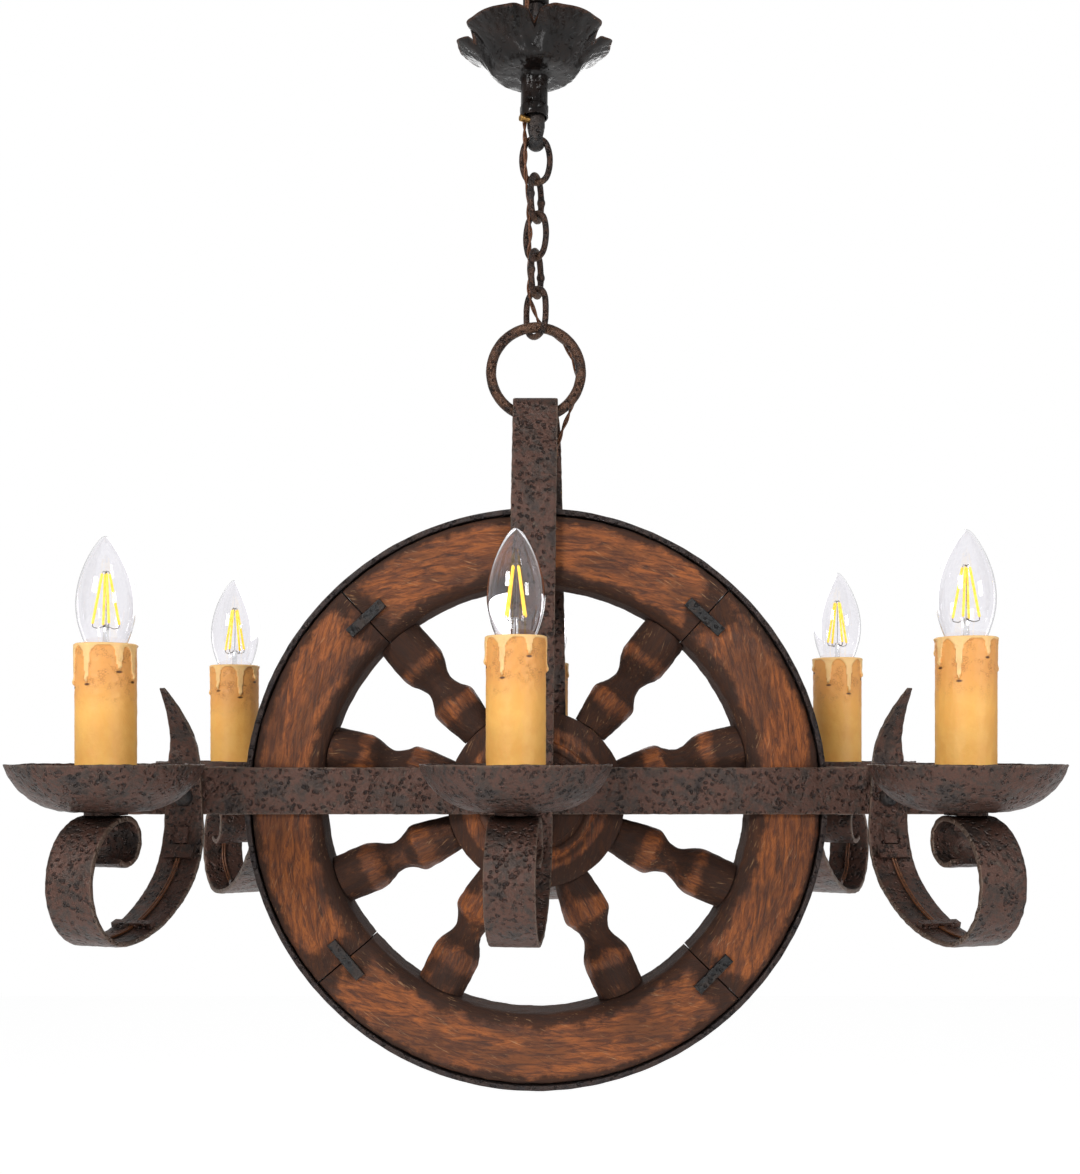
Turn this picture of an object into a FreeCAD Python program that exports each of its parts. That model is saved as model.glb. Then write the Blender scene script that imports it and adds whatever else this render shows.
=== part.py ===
"""Wagon wheel chandelier: a wooden wheel hung by a forged strap, a ring and five chain links.

Millimetres, +Z up. The origin is on the ceiling, at the middle of the rod's top face.
-Y is the front. Angles round the wheel run from +X (right) towards +Z (up), seen from the front.
"""
import FreeCAD, Part
import os
from collections import namedtuple
from math import asin, atan2, cos, degrees, pi, radians, sin, sqrt, tan

V = FreeCAD.Vector
ORIGIN = V(0, 0, 0)
RIGHT, BACK, UP = V(1, 0, 0), V(0, 1, 0), V(0, 0, 1)

# ---- Fits ---------------------------------------------------------------------------------
SWING_GAP = 0.3          # between pieces that move on each other
BOLT_GAP = 0.2           # round a bolt, rivet or tenon
SEAT_GAP = 0.2           # between round pieces that are driven together

# ---- Ceiling rod and canopy ---------------------------------------------------------------
ROD_DIAMETER = 12.3
ROD_LENGTH = 110.0
ROD_DOME = 4.0
COLLAR_DIAMETER = 18.0
COLLAR_HEIGHT = 10.0
CEILING_THREAD = 8.0     # diameter of the stud that the collar screws onto
CEILING_THREAD_DEPTH = 20.0
EYE_ABOVE_TIP = 8.8
NECK_WALL = 1.2
NECK_HEIGHT = 29.0
NECK_RING_HEIGHT = 8.0
NECK_RING_STEP = 0.6
NECK_ABOVE_TIP = 22.6
NECK_ROOM = 0.65         # extra radius of the neck's bore, so that rod and flex pass together
FLEX_ROOM = 0.25         # between rod, flex and the neck's bore
CUP_FLOOR_RADIUS = 29.0
CUP_RIM_RADIUS = 54.5
CUP_HEIGHT = 24.0
CUP_WALL = 1.8           # measured level, so the flaring sheet itself is thinner
LOBES = 5
LOBE_PINCH = 6.5         # how far the rim is drawn in between two lobes
NOTCH_WIDTH = 8.0
NOTCH_DEPTH = 7.0
SCREW_TURN = 212.0       # where the canopy screw sits round the rod
SCREW_SHANK = 4.0
SCREW_HEAD = 4.6
SCREW_HEAD_LENGTH = 3.2
SCREW_DEPTH = 4.0        # how deep it is screwed into the rod

# ---- Chain and ring -----------------------------------------------------------------------
CHAIN_WIRE = 4.3
LINK_LENGTH = 35.0
LINK_WIDTH = 23.5
LAST_LINK_LENGTH = 37.0
LAST_LINK_WIDTH = 27.0
LINK_END_RADIUS = 8.4    # bend radius of a link's ends, at the middle of the wire
LAST_LINK_END_RADIUS = 11.0
LINK_TURNS = (0.0, 68.0, 136.0, 70.0, 126.0)
BEADED_LINKS = (2, 4)
BEAD_RADIUS = 2.9
RING_DIAMETER = 69.5
RING_WIRE = 7.4
RING_HANG_GAP = 0.4      # the ring lies aslant in the last link

# ---- Wheel --------------------------------------------------------------------------------
WHEEL_BELOW_BARS = 6.0   # wheel centre below the bars' middle
FELLOE_OUTER = 193.5
FELLOE_INNER = 145.5
FELLOE_WIDTH = 44.0
FELLOE_INNER_CHAMFER = 5.0
FELLOE_OUTER_CHAMFER = 2.5
FELLOE_SEAM = 0.3
FELLOE_JOINTS = (47.3, 133.1, 220.1, 315.5)
TYRE_THICKNESS = 4.0
TYRE_WIDTH = 43.0
HUB_RADIUS = 61.0
HUB_RIM_WIDTH = 28.0
HUB_BEVEL_RADIUS = 47.0
HUB_BEVEL_STEP = 3.5
HUB_BOSS_RADIUS = 40.5
HUB_GROOVE_RADIUS = 32.0
HUB_GROOVE = 2.5
SPOKE_ANGLES = (14.0, 52.0, 130.5, 166.5, 202.6, 243.0, 294.0, 335.4)
SPOKE_FOOT = 13.0        # radii of the turned spoke, from the hub outwards
SPOKE_COLLAR = 16.5
SPOKE_NECK = 13.5
SPOKE_WAIST = 9.7
SPOKE_BARREL = 17.0
SPOKE_COLLAR_AT = 25.0   # places along the spoke, from the hub's rim
SPOKE_NECK_AT = 32.0
SPOKE_WAIST_AT = 41.5
SPOKE_BARREL_AT = 60.0
HUB_TENON = 7.0
HUB_TENON_DEPTH = 16.0
FELLOE_TENON = 8.0
FELLOE_TENON_DEPTH = 19.5
CRAMP_LENGTH = 31.0
CRAMP_WIDTH = 7.3
CRAMP_THICKNESS = 2.5
CRAMP_PRONG = 1.5
CRAMP_PRONG_DEPTH = 9.0
CRAMP_PRONG_INSET = 3.5
CRAMP_RADIUS = 168.0     # distance of a cramp from the wheel's centre

# ---- Strap, bars and their fasteners ------------------------------------------------------
STRAP_WIDTH = 31.0
STRAP_THICKNESS = 4.0
FOLD_RADIUS = 5.0        # inside of the fold over the ring
FOLD_OFFSET = -0.4       # sideways place of the fold
LEG_SPREAD = 17.0        # how far each leg leans out below the fold, in degrees
STRAP_DROP = 262.0       # from the fold's axis to the bars' middle
BAR_HEIGHT = 32.0
BAR_THICKNESS = 4.0
FRONT_BAR_LENGTH = 550.0
REAR_BAR_LENGTH = 480.0
TIE_PLACE = 220.0
TIE_ABOVE_MIDDLE = 4.0
TIE_DIAMETER = 11.0
TIE_END = 6.0
TIE_HEAD = 7.4
TIE_HEAD_HEIGHT = 2.6
BOLT_DIAMETER = 9.5
BOLT_HEAD = 18.0
BOLT_HEAD_HEIGHT = 7.0
BOLT_NUT_WIDTH = 17.0
BOLT_NUT_HEIGHT = 8.0
BOLT_TAIL = 3.0
RIVET_DIAMETER = 6.0
RIVET_HEAD = 13.0
RIVET_HEAD_HEIGHT = 7.0
RIVET_BELOW_MIDDLE = 4.0

# ---- Scroll arms --------------------------------------------------------------------------
ARM_REACH = 92.0         # from the strap at the bar to the candle's axis
ARM_START = 22.0         # where the bend begins, below the bars' middle
SCROLL_TOP = 14.0        # middle of the strap under the pan, below the bars' middle
CURL_RADIUS = 14.0
CURL_END = 485.0
NECK_BEND = 48.0         # the strap twists from the bar to its heading over this bend
ARM_FOOT_WIDTH = 26.5
ARM_HEAD_WIDTH = 22.5
ARM_HEAD_ROUND = 5.0
HORN_STRAIGHT = 12.0
HORN_HEIGHT = 52.0
HORN_REACH = 25.0
HORN_CURVE = 1.6
HORN_TIP_WIDTH = 4.5
HORN_YAW = 20.0

# ---- Candles ------------------------------------------------------------------------------
WASHER_THICKNESS = 2.0
WASHER_RADIUS = 13.0
PAN_SHEET = 1.5
PAN_FLOOR_RADIUS = 20.0
PAN_RIM_RADIUS = 59.0
PAN_DEPTH = 29.0
NIPPLE_DIAMETER = 10.0
NIPPLE_BORE = 6.0
NIPPLE_TAIL = 1.0
NIPPLE_INTO_HOLDER = 9.0
LAMP_NUT_WIDTH = 14.0
LAMP_NUT_HEIGHT = 3.0
SLEEVE_RADIUS = 18.25
SLEEVE_WALL = 2.0
SLEEVE_LIP_RADIUS = 14.0
SLEEVE_LIP_HEIGHT = 2.5
HOLDER_DROP = 12.0       # lampholder's mouth below the sleeve's top
HOLDER_RADIUS = 13.2
HOLDER_BARREL = 42.0
HOLDER_STEM = 8.0
HOLDER_BASE_RADIUS = 15.8
HOLDER_BASE_HEIGHT = 3.0
CAP_RADIUS = 6.9
CAP_LENGTH = 24.0
CAP_CONTACT_RADIUS = 3.5
CAP_CONTACT_HEIGHT = 2.5
GLASS_WALL = 1.0
GLASS_NECK_RADIUS = 7.0
GLASS_LIP_RADIUS = 12.8  # where the bulb comes out of the sleeve
GLASS_RADIUS = 17.8
GLASS_BELLY = 23.4
GLASS_TIP = 65.8
STEM_RADIUS = 2.2
STEM_HEIGHT = 12.0
STICK_RADIUS = 0.8
STICK_LENGTH = 31.5
STICK_FOOT_OUT = 8.0
STICK_HEAD_OUT = 2.2
LEAD_WIRE = 0.5

# ---- Leads --------------------------------------------------------------------------------
LEAD_WIDTH = 3.4
LEAD_THICKNESS = 1.6
LEAD_GAP = 0.15
LEAD_FROM = 10.0
LEAD_TO = 249.0
CLIP_SHEET = 1.5
CLIP_GAP = 0.2
FERRULE = (8.0, 12.0, 8.0)         # width, length and place along the bend below the bar
UPPER_CLIP = (20.0, 10.0, 20.0)
LOWER_CLIP = (28.0, 6.0, 50.0)     # its place is along the next bend
FLEX_DIAMETER = 3.2

Arm = namedtuple("Arm", "node place side heading scroll_radius sleeve_height horn")
# place: along the bar; side: -1 front, +1 rear; heading: degrees from straight ahead
FRONT_LEFT = Arm("front_left_arm", -236.5, -1, -16.0, 38.0, 100.5, True)
FRONT_MIDDLE = Arm("hanging_strap", -4.2, -1, -5.0, 38.0, 105.0, False)
FRONT_RIGHT = Arm("front_right_arm", 236.5, -1, 16.0, 38.0, 104.5, True)
REAR_LEFT = Arm("rear_left_arm", -188.0, 1, 208.5, 33.0, 101.0, False)
REAR_MIDDLE = Arm("hanging_strap", 6.6, 1, 180.0, 36.0, 103.5, False)
REAR_RIGHT = Arm("rear_right_arm", 188.0, 1, 151.5, 33.0, 106.5, False)
ARMS = (FRONT_LEFT, FRONT_MIDDLE, FRONT_RIGHT, REAR_LEFT, REAR_MIDDLE, REAR_RIGHT)
SIDE_ARMS = (FRONT_LEFT, FRONT_RIGHT, REAR_LEFT, REAR_RIGHT)

# ---- Heights that follow ------------------------------------------------------------------
rod_radius = ROD_DIAMETER / 2
wire_radius = CHAIN_WIRE / 2
link_half = (LINK_LENGTH - CHAIN_WIRE) / 2
last_link_half = (LAST_LINK_LENGTH - CHAIN_WIRE) / 2
link_pitch = 2 * link_half - CHAIN_WIRE - SWING_GAP
rod_tip = -ROD_LENGTH
eye_height = rod_tip + EYE_ABOVE_TIP
link_tops = [eye_height - i * link_pitch for i in range(len(LINK_TURNS))]
last_link_bottom = link_tops[-1] - 2 * last_link_half
ring_line = (RING_DIAMETER - RING_WIRE) / 2
ring_height = last_link_bottom + (CHAIN_WIRE + RING_WIRE) / 2 + RING_HANG_GAP - ring_line
fold_half = STRAP_WIDTH / 2 - FOLD_OFFSET
ring_inner = ring_line - RING_WIRE / 2 - SWING_GAP
fold_height = ring_height - sqrt(ring_inner ** 2 - fold_half ** 2) - FOLD_RADIUS
bar_middle = fold_height - STRAP_DROP
wheel_height = bar_middle - WHEEL_BELOW_BARS
bar_inside = FELLOE_WIDTH / 2
bar_outside = bar_inside + BAR_THICKNESS
strap_middle = bar_outside + STRAP_THICKNESS / 2
strap_outside = bar_outside + STRAP_THICKNESS
bolt_hole = BOLT_DIAMETER / 2 + BOLT_GAP
pan_under = bar_middle - SCROLL_TOP + STRAP_THICKNESS / 2 + WASHER_THICKNESS
pan_floor = pan_under + PAN_SHEET
nipple_hole = NIPPLE_DIAMETER / 2 + BOLT_GAP


# ---- Small helpers ------------------------------------------------------------------------
def save(node, *solids):
    """Write one node: a single solid, or a group of separate ones."""
    shape = solids[0] if len(solids) == 1 else Part.makeCompound(list(solids))
    if not shape.isValid():
        raise ValueError(f"{node} is not a valid shape")
    shape.exportStep(f"parts/{node}.step")
    print(f"{node}: {len(shape.Solids)} solid(s), {shape.Volume:.0f} mm3")


def cylinder_between(start, end, radius):
    return Part.makeCylinder(radius, (end - start).Length, start, end - start)


def dome(radius, height, base, direction):
    """A spherical cap that stands on base and points along direction."""
    sphere = (radius ** 2 + height ** 2) / (2 * height)
    centre = base - direction * (sphere - height)
    return Part.makeSphere(sphere, centre, direction, degrees(asin((sphere - height) / sphere)), 90)


def turned(points):
    """Revolve a closed outline of (radius, height) points about Z."""
    corners = [V(r, 0, z) for r, z in points]
    return Part.Face(Part.makePolygon(corners + corners[:1])).revolve(ORIGIN, UP, 360)


def hexagon(width, height, base, direction):
    """A hexagonal nut blank, width across its flats."""
    corner = width / sqrt(3)
    points = [V(corner * cos(radians(60 * i + 30)), corner * sin(radians(60 * i + 30)), 0) for i in range(7)]
    blank = Part.Face(Part.makePolygon(points)).extrude(UP * height)
    blank.Placement = FreeCAD.Placement(base, FreeCAD.Rotation(UP, direction))
    return blank


def rectangle(centre, across, half_width, through, inner, outer):
    """A rectangular wire: half_width each way along across, from inner to outer along through."""
    corners = [
        centre + across * half_width + through * inner,
        centre + across * half_width + through * outer,
        centre - across * half_width + through * outer,
        centre - across * half_width + through * inner,
    ]
    return Part.makePolygon(corners + corners[:1])


def fused(*solids):
    return solids[0].fuse(list(solids[1:])).removeSplitter()


# ---- Rod, canopy --------------------------------------------------------------------------
def eye_bellmouth():
    """The eye's mouth follows the inner side of the first link's bent end, whatever its swing."""
    centre = V(0, 0, LINK_END_RADIUS)
    inner = LINK_END_RADIUS - wire_radius - SWING_GAP
    lean = asin(min(0.985, rod_radius / inner))
    points = [centre + V(inner * sin(lean * part), 0, -inner * cos(lean * part)) for part in (0, 0.5, 1)]
    mouth = [points[-1], V(rod_radius + 1, 0, LINK_END_RADIUS), V(rod_radius + 1, 0, 0), ORIGIN, points[0]]
    edges = [Part.Arc(*points).toShape()] + Part.makePolygon(mouth).Edges
    half = Part.Face(Part.Wire(edges)).revolve(ORIGIN, RIGHT, 360)
    both = half.fuse(half.mirror(ORIGIN, RIGHT))
    both.translate(V(0, 0, eye_height))
    return both


def screw_direction():
    return V(cos(radians(SCREW_TURN)), sin(radians(SCREW_TURN)), 0)


neck_bore = rod_radius + FLEX_DIAMETER / 2 + NECK_ROOM
neck_radius = neck_bore + NECK_WALL
neck_shift = rod_radius + FLEX_DIAMETER + FLEX_ROOM - neck_bore
neck_bottom = rod_tip + NECK_ABOVE_TIP
cup_floor = neck_bottom + NECK_HEIGHT
screw_height = neck_bottom - SCREW_HEAD / 2 - 0.1


def hanging_rod():
    rod = Part.makeCylinder(rod_radius, ROD_LENGTH - ROD_DOME, V(0, 0, rod_tip + ROD_DOME))
    tip = dome(rod_radius, ROD_DOME, V(0, 0, rod_tip + ROD_DOME), V(0, 0, -1))
    collar = Part.makeCylinder(COLLAR_DIAMETER / 2, COLLAR_HEIGHT, V(0, 0, -COLLAR_HEIGHT))
    collar = collar.makeChamfer(1, [e for e in collar.Edges if e.BoundBox.ZMax < -COLLAR_HEIGHT + 0.1])
    thread = Part.makeCylinder(CEILING_THREAD / 2, CEILING_THREAD_DEPTH, V(0, 0, -CEILING_THREAD_DEPTH))
    start = V(0, 0, screw_height) + screw_direction() * (rod_radius - SCREW_DEPTH)
    screw_hole = Part.makeCylinder(SCREW_SHANK / 2, rod_radius, start, screw_direction())
    return fused(rod, tip, collar).cut([thread, screw_hole, eye_bellmouth()])


def canopy_screw():
    """A round-headed screw that the neck of the canopy rests on."""
    outwards = screw_direction()
    start = V(0, 0, screw_height) + outwards * (rod_radius - SCREW_DEPTH)
    head = V(0, 0, screw_height) + outwards * (neck_radius + 0.2)
    shank = cylinder_between(start, head, SCREW_SHANK / 2)
    knob = Part.makeCylinder(SCREW_HEAD / 2, SCREW_HEAD_LENGTH, head, outwards)
    rim = [e for e in knob.Edges if (e.CenterOfMass - head).dot(outwards) > SCREW_HEAD_LENGTH - 0.1]
    return fused(shank, knob.makeFillet(0.8, rim))


def lobed_wire(height, apex, pinch):
    """A closed wire of equal arcs: each bulges to apex and meets the next at apex less pinch."""
    step = 360 / LOBES
    edges = []
    for i in range(LOBES):
        turns = [radians(270 + step * (i + part)) for part in (0, 0.5, 1)]
        radii = (apex - pinch, apex, apex - pinch)
        points = [V(r * cos(a), r * sin(a), height) for r, a in zip(radii, turns)]
        edges.append(Part.Arc(*points).toShape())
    return Part.Wire(edges)


def cup_body(inset, floor):
    """The flared cup: it opens faster and its lobes grow towards the rim."""
    levels = 5
    flare = CUP_RIM_RADIUS - CUP_FLOOR_RADIUS
    wires = []
    for i in range(levels + 1):
        share = i / levels
        height = floor + (CUP_HEIGHT - floor) * share
        climb = height / CUP_HEIGHT
        apex = CUP_FLOOR_RADIUS + flare * (0.4 * climb + 0.6 * climb ** 2.6) - inset
        wires.append(lobed_wire(height, apex, LOBE_PINCH * climb ** 2))
    return Part.makeLoft(wires, True, False)


def canopy():
    cup = cup_body(0, 0).cut(cup_body(CUP_WALL, CUP_WALL))
    notch = Part.makePolygon([
        V(CUP_FLOOR_RADIUS, -NOTCH_WIDTH / 2, CUP_HEIGHT + 0.1),
        V(CUP_FLOOR_RADIUS, NOTCH_WIDTH / 2, CUP_HEIGHT + 0.1),
        V(CUP_FLOOR_RADIUS, 0, CUP_HEIGHT - NOTCH_DEPTH),
        V(CUP_FLOOR_RADIUS, -NOTCH_WIDTH / 2, CUP_HEIGHT + 0.1),
    ])
    wedge = Part.Face(notch).extrude(RIGHT * CUP_RIM_RADIUS)
    for i in range(LOBES):
        cutter = wedge.copy()
        cutter.rotate(ORIGIN, UP, 270 + i * 360 / LOBES)
        cup = cup.cut(cutter)
    neck = Part.makeCylinder(neck_radius, NECK_HEIGHT + CUP_WALL / 2, V(0, 0, -NECK_HEIGHT))
    ring = Part.makeCylinder(neck_radius + NECK_RING_STEP, NECK_RING_HEIGHT, V(0, 0, -NECK_HEIGHT))
    bore = Part.makeCylinder(neck_bore, NECK_HEIGHT + CUP_HEIGHT, V(0, 0, -NECK_HEIGHT))
    whole = fused(cup, neck, ring).cut(bore)
    whole.translate(V(-neck_shift, 0, cup_floor))
    return whole


# ---- Chain and ring -----------------------------------------------------------------------
def chain_link(top, turn, half_length, half_width, end_radius, beaded):
    """A four-arc oval of round wire, hung with its top at the given height."""
    end_centre = half_length - end_radius
    narrow = half_width - end_radius
    side_radius = (half_width ** 2 + end_centre ** 2 - end_radius ** 2) / (2 * narrow)
    side_centre = side_radius - half_width
    lean = atan2(end_centre, side_centre)
    tangent_x = end_radius * cos(lean)
    tangent_z = end_centre + end_radius * sin(lean)
    stops = [(-tangent_x, tangent_z), (tangent_x, tangent_z), (tangent_x, -tangent_z), (-tangent_x, -tangent_z)]
    crests = [(0, half_length), (half_width, 0), (0, -half_length), (-half_width, 0)]
    centres = [(0, end_centre), (-side_centre, 0), (0, -end_centre), (side_centre, 0)]
    tubes = []
    for i in range(4):
        start, stop, centre = stops[i], stops[(i + 1) % 4], centres[i]
        begin = atan2(start[1] - centre[1], start[0] - centre[0])
        finish = atan2(stop[1] - centre[1], stop[0] - centre[0])
        angle = (degrees(begin - finish)) % 360
        spot = V(start[0], 0, start[1])
        radial = V(start[0] - centre[0], 0, start[1] - centre[1])
        disc = Part.Face(Part.Wire(Part.makeCircle(wire_radius, spot, radial.cross(BACK))))
        tubes.append(disc.revolve(V(centre[0], 0, centre[1]), BACK, angle))
    if beaded:
        tubes += [Part.makeSphere(BEAD_RADIUS, V(side * half_width, 0, 0)) for side in (-1, 1)]
    link = fused(*tubes)
    link.rotate(ORIGIN, UP, turn)
    link.translate(V(0, 0, top - half_length))
    return link


def chain_links():
    usual = (link_half, (LINK_WIDTH - CHAIN_WIRE) / 2, LINK_END_RADIUS)
    last = (last_link_half, (LAST_LINK_WIDTH - CHAIN_WIRE) / 2, LAST_LINK_END_RADIUS)
    links = []
    for i, turn in enumerate(LINK_TURNS):
        form = last if i == len(LINK_TURNS) - 1 else usual
        links.append(chain_link(link_tops[i], turn, *form, i + 1 in BEADED_LINKS))
    return links


def hanging_ring():
    return Part.makeTorus(ring_line, RING_WIRE / 2, V(0, 0, ring_height), BACK)


# ---- Wheel --------------------------------------------------------------------------------
def round_wheel(solid, angle):
    """Turn a piece made at 3 o'clock to its angle and move it to the wheel's centre."""
    placed = solid.copy()
    placed.rotate(ORIGIN, V(0, -1, 0), angle)
    placed.translate(V(0, 0, wheel_height))
    return placed


def tyre():
    inner = FELLOE_OUTER + SEAT_GAP
    base = V(0, -TYRE_WIDTH / 2, wheel_height)
    band = Part.makeCylinder(inner + TYRE_THICKNESS, TYRE_WIDTH, base, BACK)
    return band.cut(Part.makeCylinder(inner, TYRE_WIDTH, base, BACK))


def spoke():
    """A turned spoke with a tenon at each end, its shoulders hollowed to the hub and the felloe."""
    seat = HUB_RADIUS + SEAT_GAP
    felloe_seat = FELLOE_INNER - SEAT_GAP
    tenon_root = HUB_RADIUS - HUB_TENON_DEPTH
    tenon_tip = FELLOE_INNER + FELLOE_TENON_DEPTH
    curve = Part.BSplineCurve()
    curve.interpolate([
        V(HUB_RADIUS + SPOKE_NECK_AT, SPOKE_NECK, 0),
        V(HUB_RADIUS + SPOKE_WAIST_AT, SPOKE_WAIST, 0),
        V(HUB_RADIUS + SPOKE_BARREL_AT, SPOKE_BARREL, 0),
    ])
    collar_end = V(HUB_RADIUS + SPOKE_COLLAR_AT, SPOKE_COLLAR, 0)
    before = [V(tenon_root, 0, 0), V(tenon_root, HUB_TENON, 0), V(seat - 3, HUB_TENON, 0)]
    before += [V(seat - 3, SPOKE_FOOT, 0), V(seat + 4, SPOKE_FOOT, 0), collar_end]
    before += [V(HUB_RADIUS + SPOKE_COLLAR_AT + 3, SPOKE_COLLAR, 0), V(HUB_RADIUS + SPOKE_NECK_AT, SPOKE_NECK, 0)]
    after = [V(HUB_RADIUS + SPOKE_BARREL_AT, SPOKE_BARREL, 0), V(felloe_seat, SPOKE_BARREL, 0)]
    after += [V(felloe_seat, FELLOE_TENON, 0), V(tenon_tip, FELLOE_TENON, 0), V(tenon_tip, 0, 0)]
    outline = Part.Wire(Part.makePolygon(before).Edges + [curve.toShape()]
                        + Part.makePolygon(after + before[:1]).Edges)
    body = Part.Face(outline).revolve(ORIGIN, RIGHT, 360)
    tenons = cylinder_between(V(tenon_root, 0, 0), V(seat + 1, 0, 0), HUB_TENON)
    tenons = tenons.fuse(cylinder_between(V(felloe_seat - 6, 0, 0), V(tenon_tip, 0, 0), FELLOE_TENON))
    disc = Part.makeCylinder(felloe_seat, 4 * SPOKE_BARREL, V(0, -2 * SPOKE_BARREL, 0), BACK)
    core = Part.makeCylinder(seat, 4 * SPOKE_BARREL, V(0, -2 * SPOKE_BARREL, 0), BACK)
    return fused(body.common(disc).cut(core), tenons)


def tenon_hole(start, depth, radius):
    return Part.makeCylinder(radius + BOLT_GAP / 2, depth + BOLT_GAP, V(start, 0, 0), RIGHT)


def hub():
    rim, face = HUB_RIM_WIDTH / 2, FELLOE_WIDTH / 2
    step = face - HUB_BEVEL_STEP
    groove = (HUB_GROOVE_RADIUS, HUB_GROOVE_RADIUS + HUB_GROOVE)
    half = [
        (bolt_hole, 0), (bolt_hole, face), (groove[0], face), (groove[0], face - 1.5), (groove[1], face - 1.5),
        (groove[1], face), (HUB_BOSS_RADIUS, face), (HUB_BOSS_RADIUS, step), (HUB_BEVEL_RADIUS, step),
        (HUB_RADIUS, rim),
    ]
    outline = half[1:] + [(r, -y) for r, y in reversed(half[1:])]
    block = turned(outline)
    block.rotate(ORIGIN, RIGHT, 90)
    start = HUB_RADIUS - HUB_TENON_DEPTH - BOLT_GAP
    for angle in SPOKE_ANGLES:
        hole = tenon_hole(start, HUB_TENON_DEPTH + 5, HUB_TENON)
        hole.rotate(ORIGIN, V(0, -1, 0), angle)
        block = block.cut(hole)
    block.translate(V(0, 0, wheel_height))
    return block


def cramp(side):
    """A small iron staple across a felloe joint; side is -1 on the front face, +1 on the rear."""
    face = side * FELLOE_WIDTH / 2
    low = min(face, face + side * CRAMP_THICKNESS)
    corner = V(CRAMP_RADIUS - CRAMP_WIDTH / 2, low, -CRAMP_LENGTH / 2)
    plate = Part.makeBox(CRAMP_WIDTH, CRAMP_THICKNESS, CRAMP_LENGTH, corner)
    plate = plate.makeFillet(0.8, [e for e in plate.Edges if abs(e.CenterOfMass.y - face) > CRAMP_THICKNESS / 2])
    prongs = [Part.makeCylinder(CRAMP_PRONG, CRAMP_PRONG_DEPTH + CRAMP_THICKNESS / 2,
                                V(CRAMP_RADIUS, face + side * CRAMP_THICKNESS / 2, end), V(0, -side, 0))
              for end in prong_ends()]
    return fused(plate, *prongs)


def prong_ends():
    end = CRAMP_LENGTH / 2 - CRAMP_PRONG_INSET
    return (-end, end)


def felloe(index):
    """A quarter of the wooden rim, with its mortises and the holes for the cramps."""
    start = FELLOE_JOINTS[index]
    span = (FELLOE_JOINTS[(index + 1) % len(FELLOE_JOINTS)] - start) % 360
    seam = degrees(FELLOE_SEAM / FELLOE_INNER)
    face = FELLOE_WIDTH / 2
    inner, outer = FELLOE_INNER_CHAMFER, FELLOE_OUTER_CHAMFER
    corners = [
        V(FELLOE_INNER, inner - face, 0), V(FELLOE_INNER + inner, -face, 0), V(FELLOE_OUTER - outer, -face, 0),
        V(FELLOE_OUTER, outer - face, 0), V(FELLOE_OUTER, face - outer, 0), V(FELLOE_OUTER - outer, face, 0),
        V(FELLOE_INNER + inner, face, 0), V(FELLOE_INNER, face - inner, 0),
    ]
    section = Part.Face(Part.makePolygon(corners + corners[:1]))
    rim = round_wheel(section.revolve(ORIGIN, V(0, -1, 0), span - seam), start + seam / 2)
    holes = [round_wheel(tenon_hole(FELLOE_INNER - 5, FELLOE_TENON_DEPTH + 5, FELLOE_TENON), angle)
             for angle in SPOKE_ANGLES if (angle - start + 5) % 360 < span + 10]
    for joint in (start, start + span):
        for side in (-1, 1):
            for end in prong_ends():
                base = V(CRAMP_RADIUS, side * (face + 1), end)
                hole = Part.makeCylinder(CRAMP_PRONG + 0.1, CRAMP_PRONG_DEPTH + 1.2, base, V(0, -side, 0))
                holes.append(round_wheel(hole, joint))
    return rim.cut(holes)


# ---- Bars and fasteners -------------------------------------------------------------------
def along_y(radius, start, end, x, z):
    return cylinder_between(V(x, start, z), V(x, end, z), radius)


def rivet_height():
    return bar_middle - RIVET_BELOW_MIDDLE


def bar(length, side):
    """One flat bar on the wheel's face, with its holes for ties, rivets and the centre bolt."""
    low = min(side * bar_inside, side * bar_outside)
    corner = V(-length / 2, low, bar_middle - BAR_HEIGHT / 2)
    blank = Part.makeBox(length, BAR_THICKNESS, BAR_HEIGHT, corner)
    blank = blank.makeFillet(0.8, [e for e in blank.Edges if e.Length > length / 2])
    reach = (side * (bar_inside - 1), side * (bar_outside + 1))
    holes = [along_y(bolt_hole, *reach, 0, wheel_height)]
    for x in (-TIE_PLACE, TIE_PLACE):
        holes.append(along_y(TIE_END / 2 + BOLT_GAP / 2, *reach, x, bar_middle + TIE_ABOVE_MIDDLE))
    for arm in SIDE_ARMS:
        if arm.side == side:
            holes.append(along_y(RIVET_DIAMETER / 2 + BOLT_GAP / 2, *reach, arm.place, rivet_height()))
    return blank.cut(holes)


def end_tie(x):
    """A spacer between the bars, riveted over through both of them."""
    z = bar_middle + TIE_ABOVE_MIDDLE
    pieces = [along_y(TIE_DIAMETER / 2, -bar_inside, bar_inside, x, z)]
    pieces.append(along_y(TIE_END / 2, -bar_outside, bar_outside, x, z))
    for side in (-1, 1):
        pieces.append(dome(TIE_HEAD / 2, TIE_HEAD_HEIGHT, V(x, side * bar_outside, z), V(0, side, 0)))
    return fused(*pieces)


def centre_bolt():
    """The bolt through strap legs, bars and hub, and its nut behind."""
    tail = strap_outside + BOLT_NUT_HEIGHT + BOLT_TAIL
    shank = along_y(BOLT_DIAMETER / 2, -strap_outside, tail, 0, wheel_height)
    head = dome(BOLT_HEAD / 2, BOLT_HEAD_HEIGHT, V(0, -strap_outside, wheel_height), V(0, -1, 0))
    nut = hexagon(BOLT_NUT_WIDTH, BOLT_NUT_HEIGHT, V(0, strap_outside, wheel_height), BACK)
    nut = nut.cut(along_y(BOLT_DIAMETER / 2 + 0.05, strap_outside, tail, 0, wheel_height))
    return fused(shank, head), nut


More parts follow.
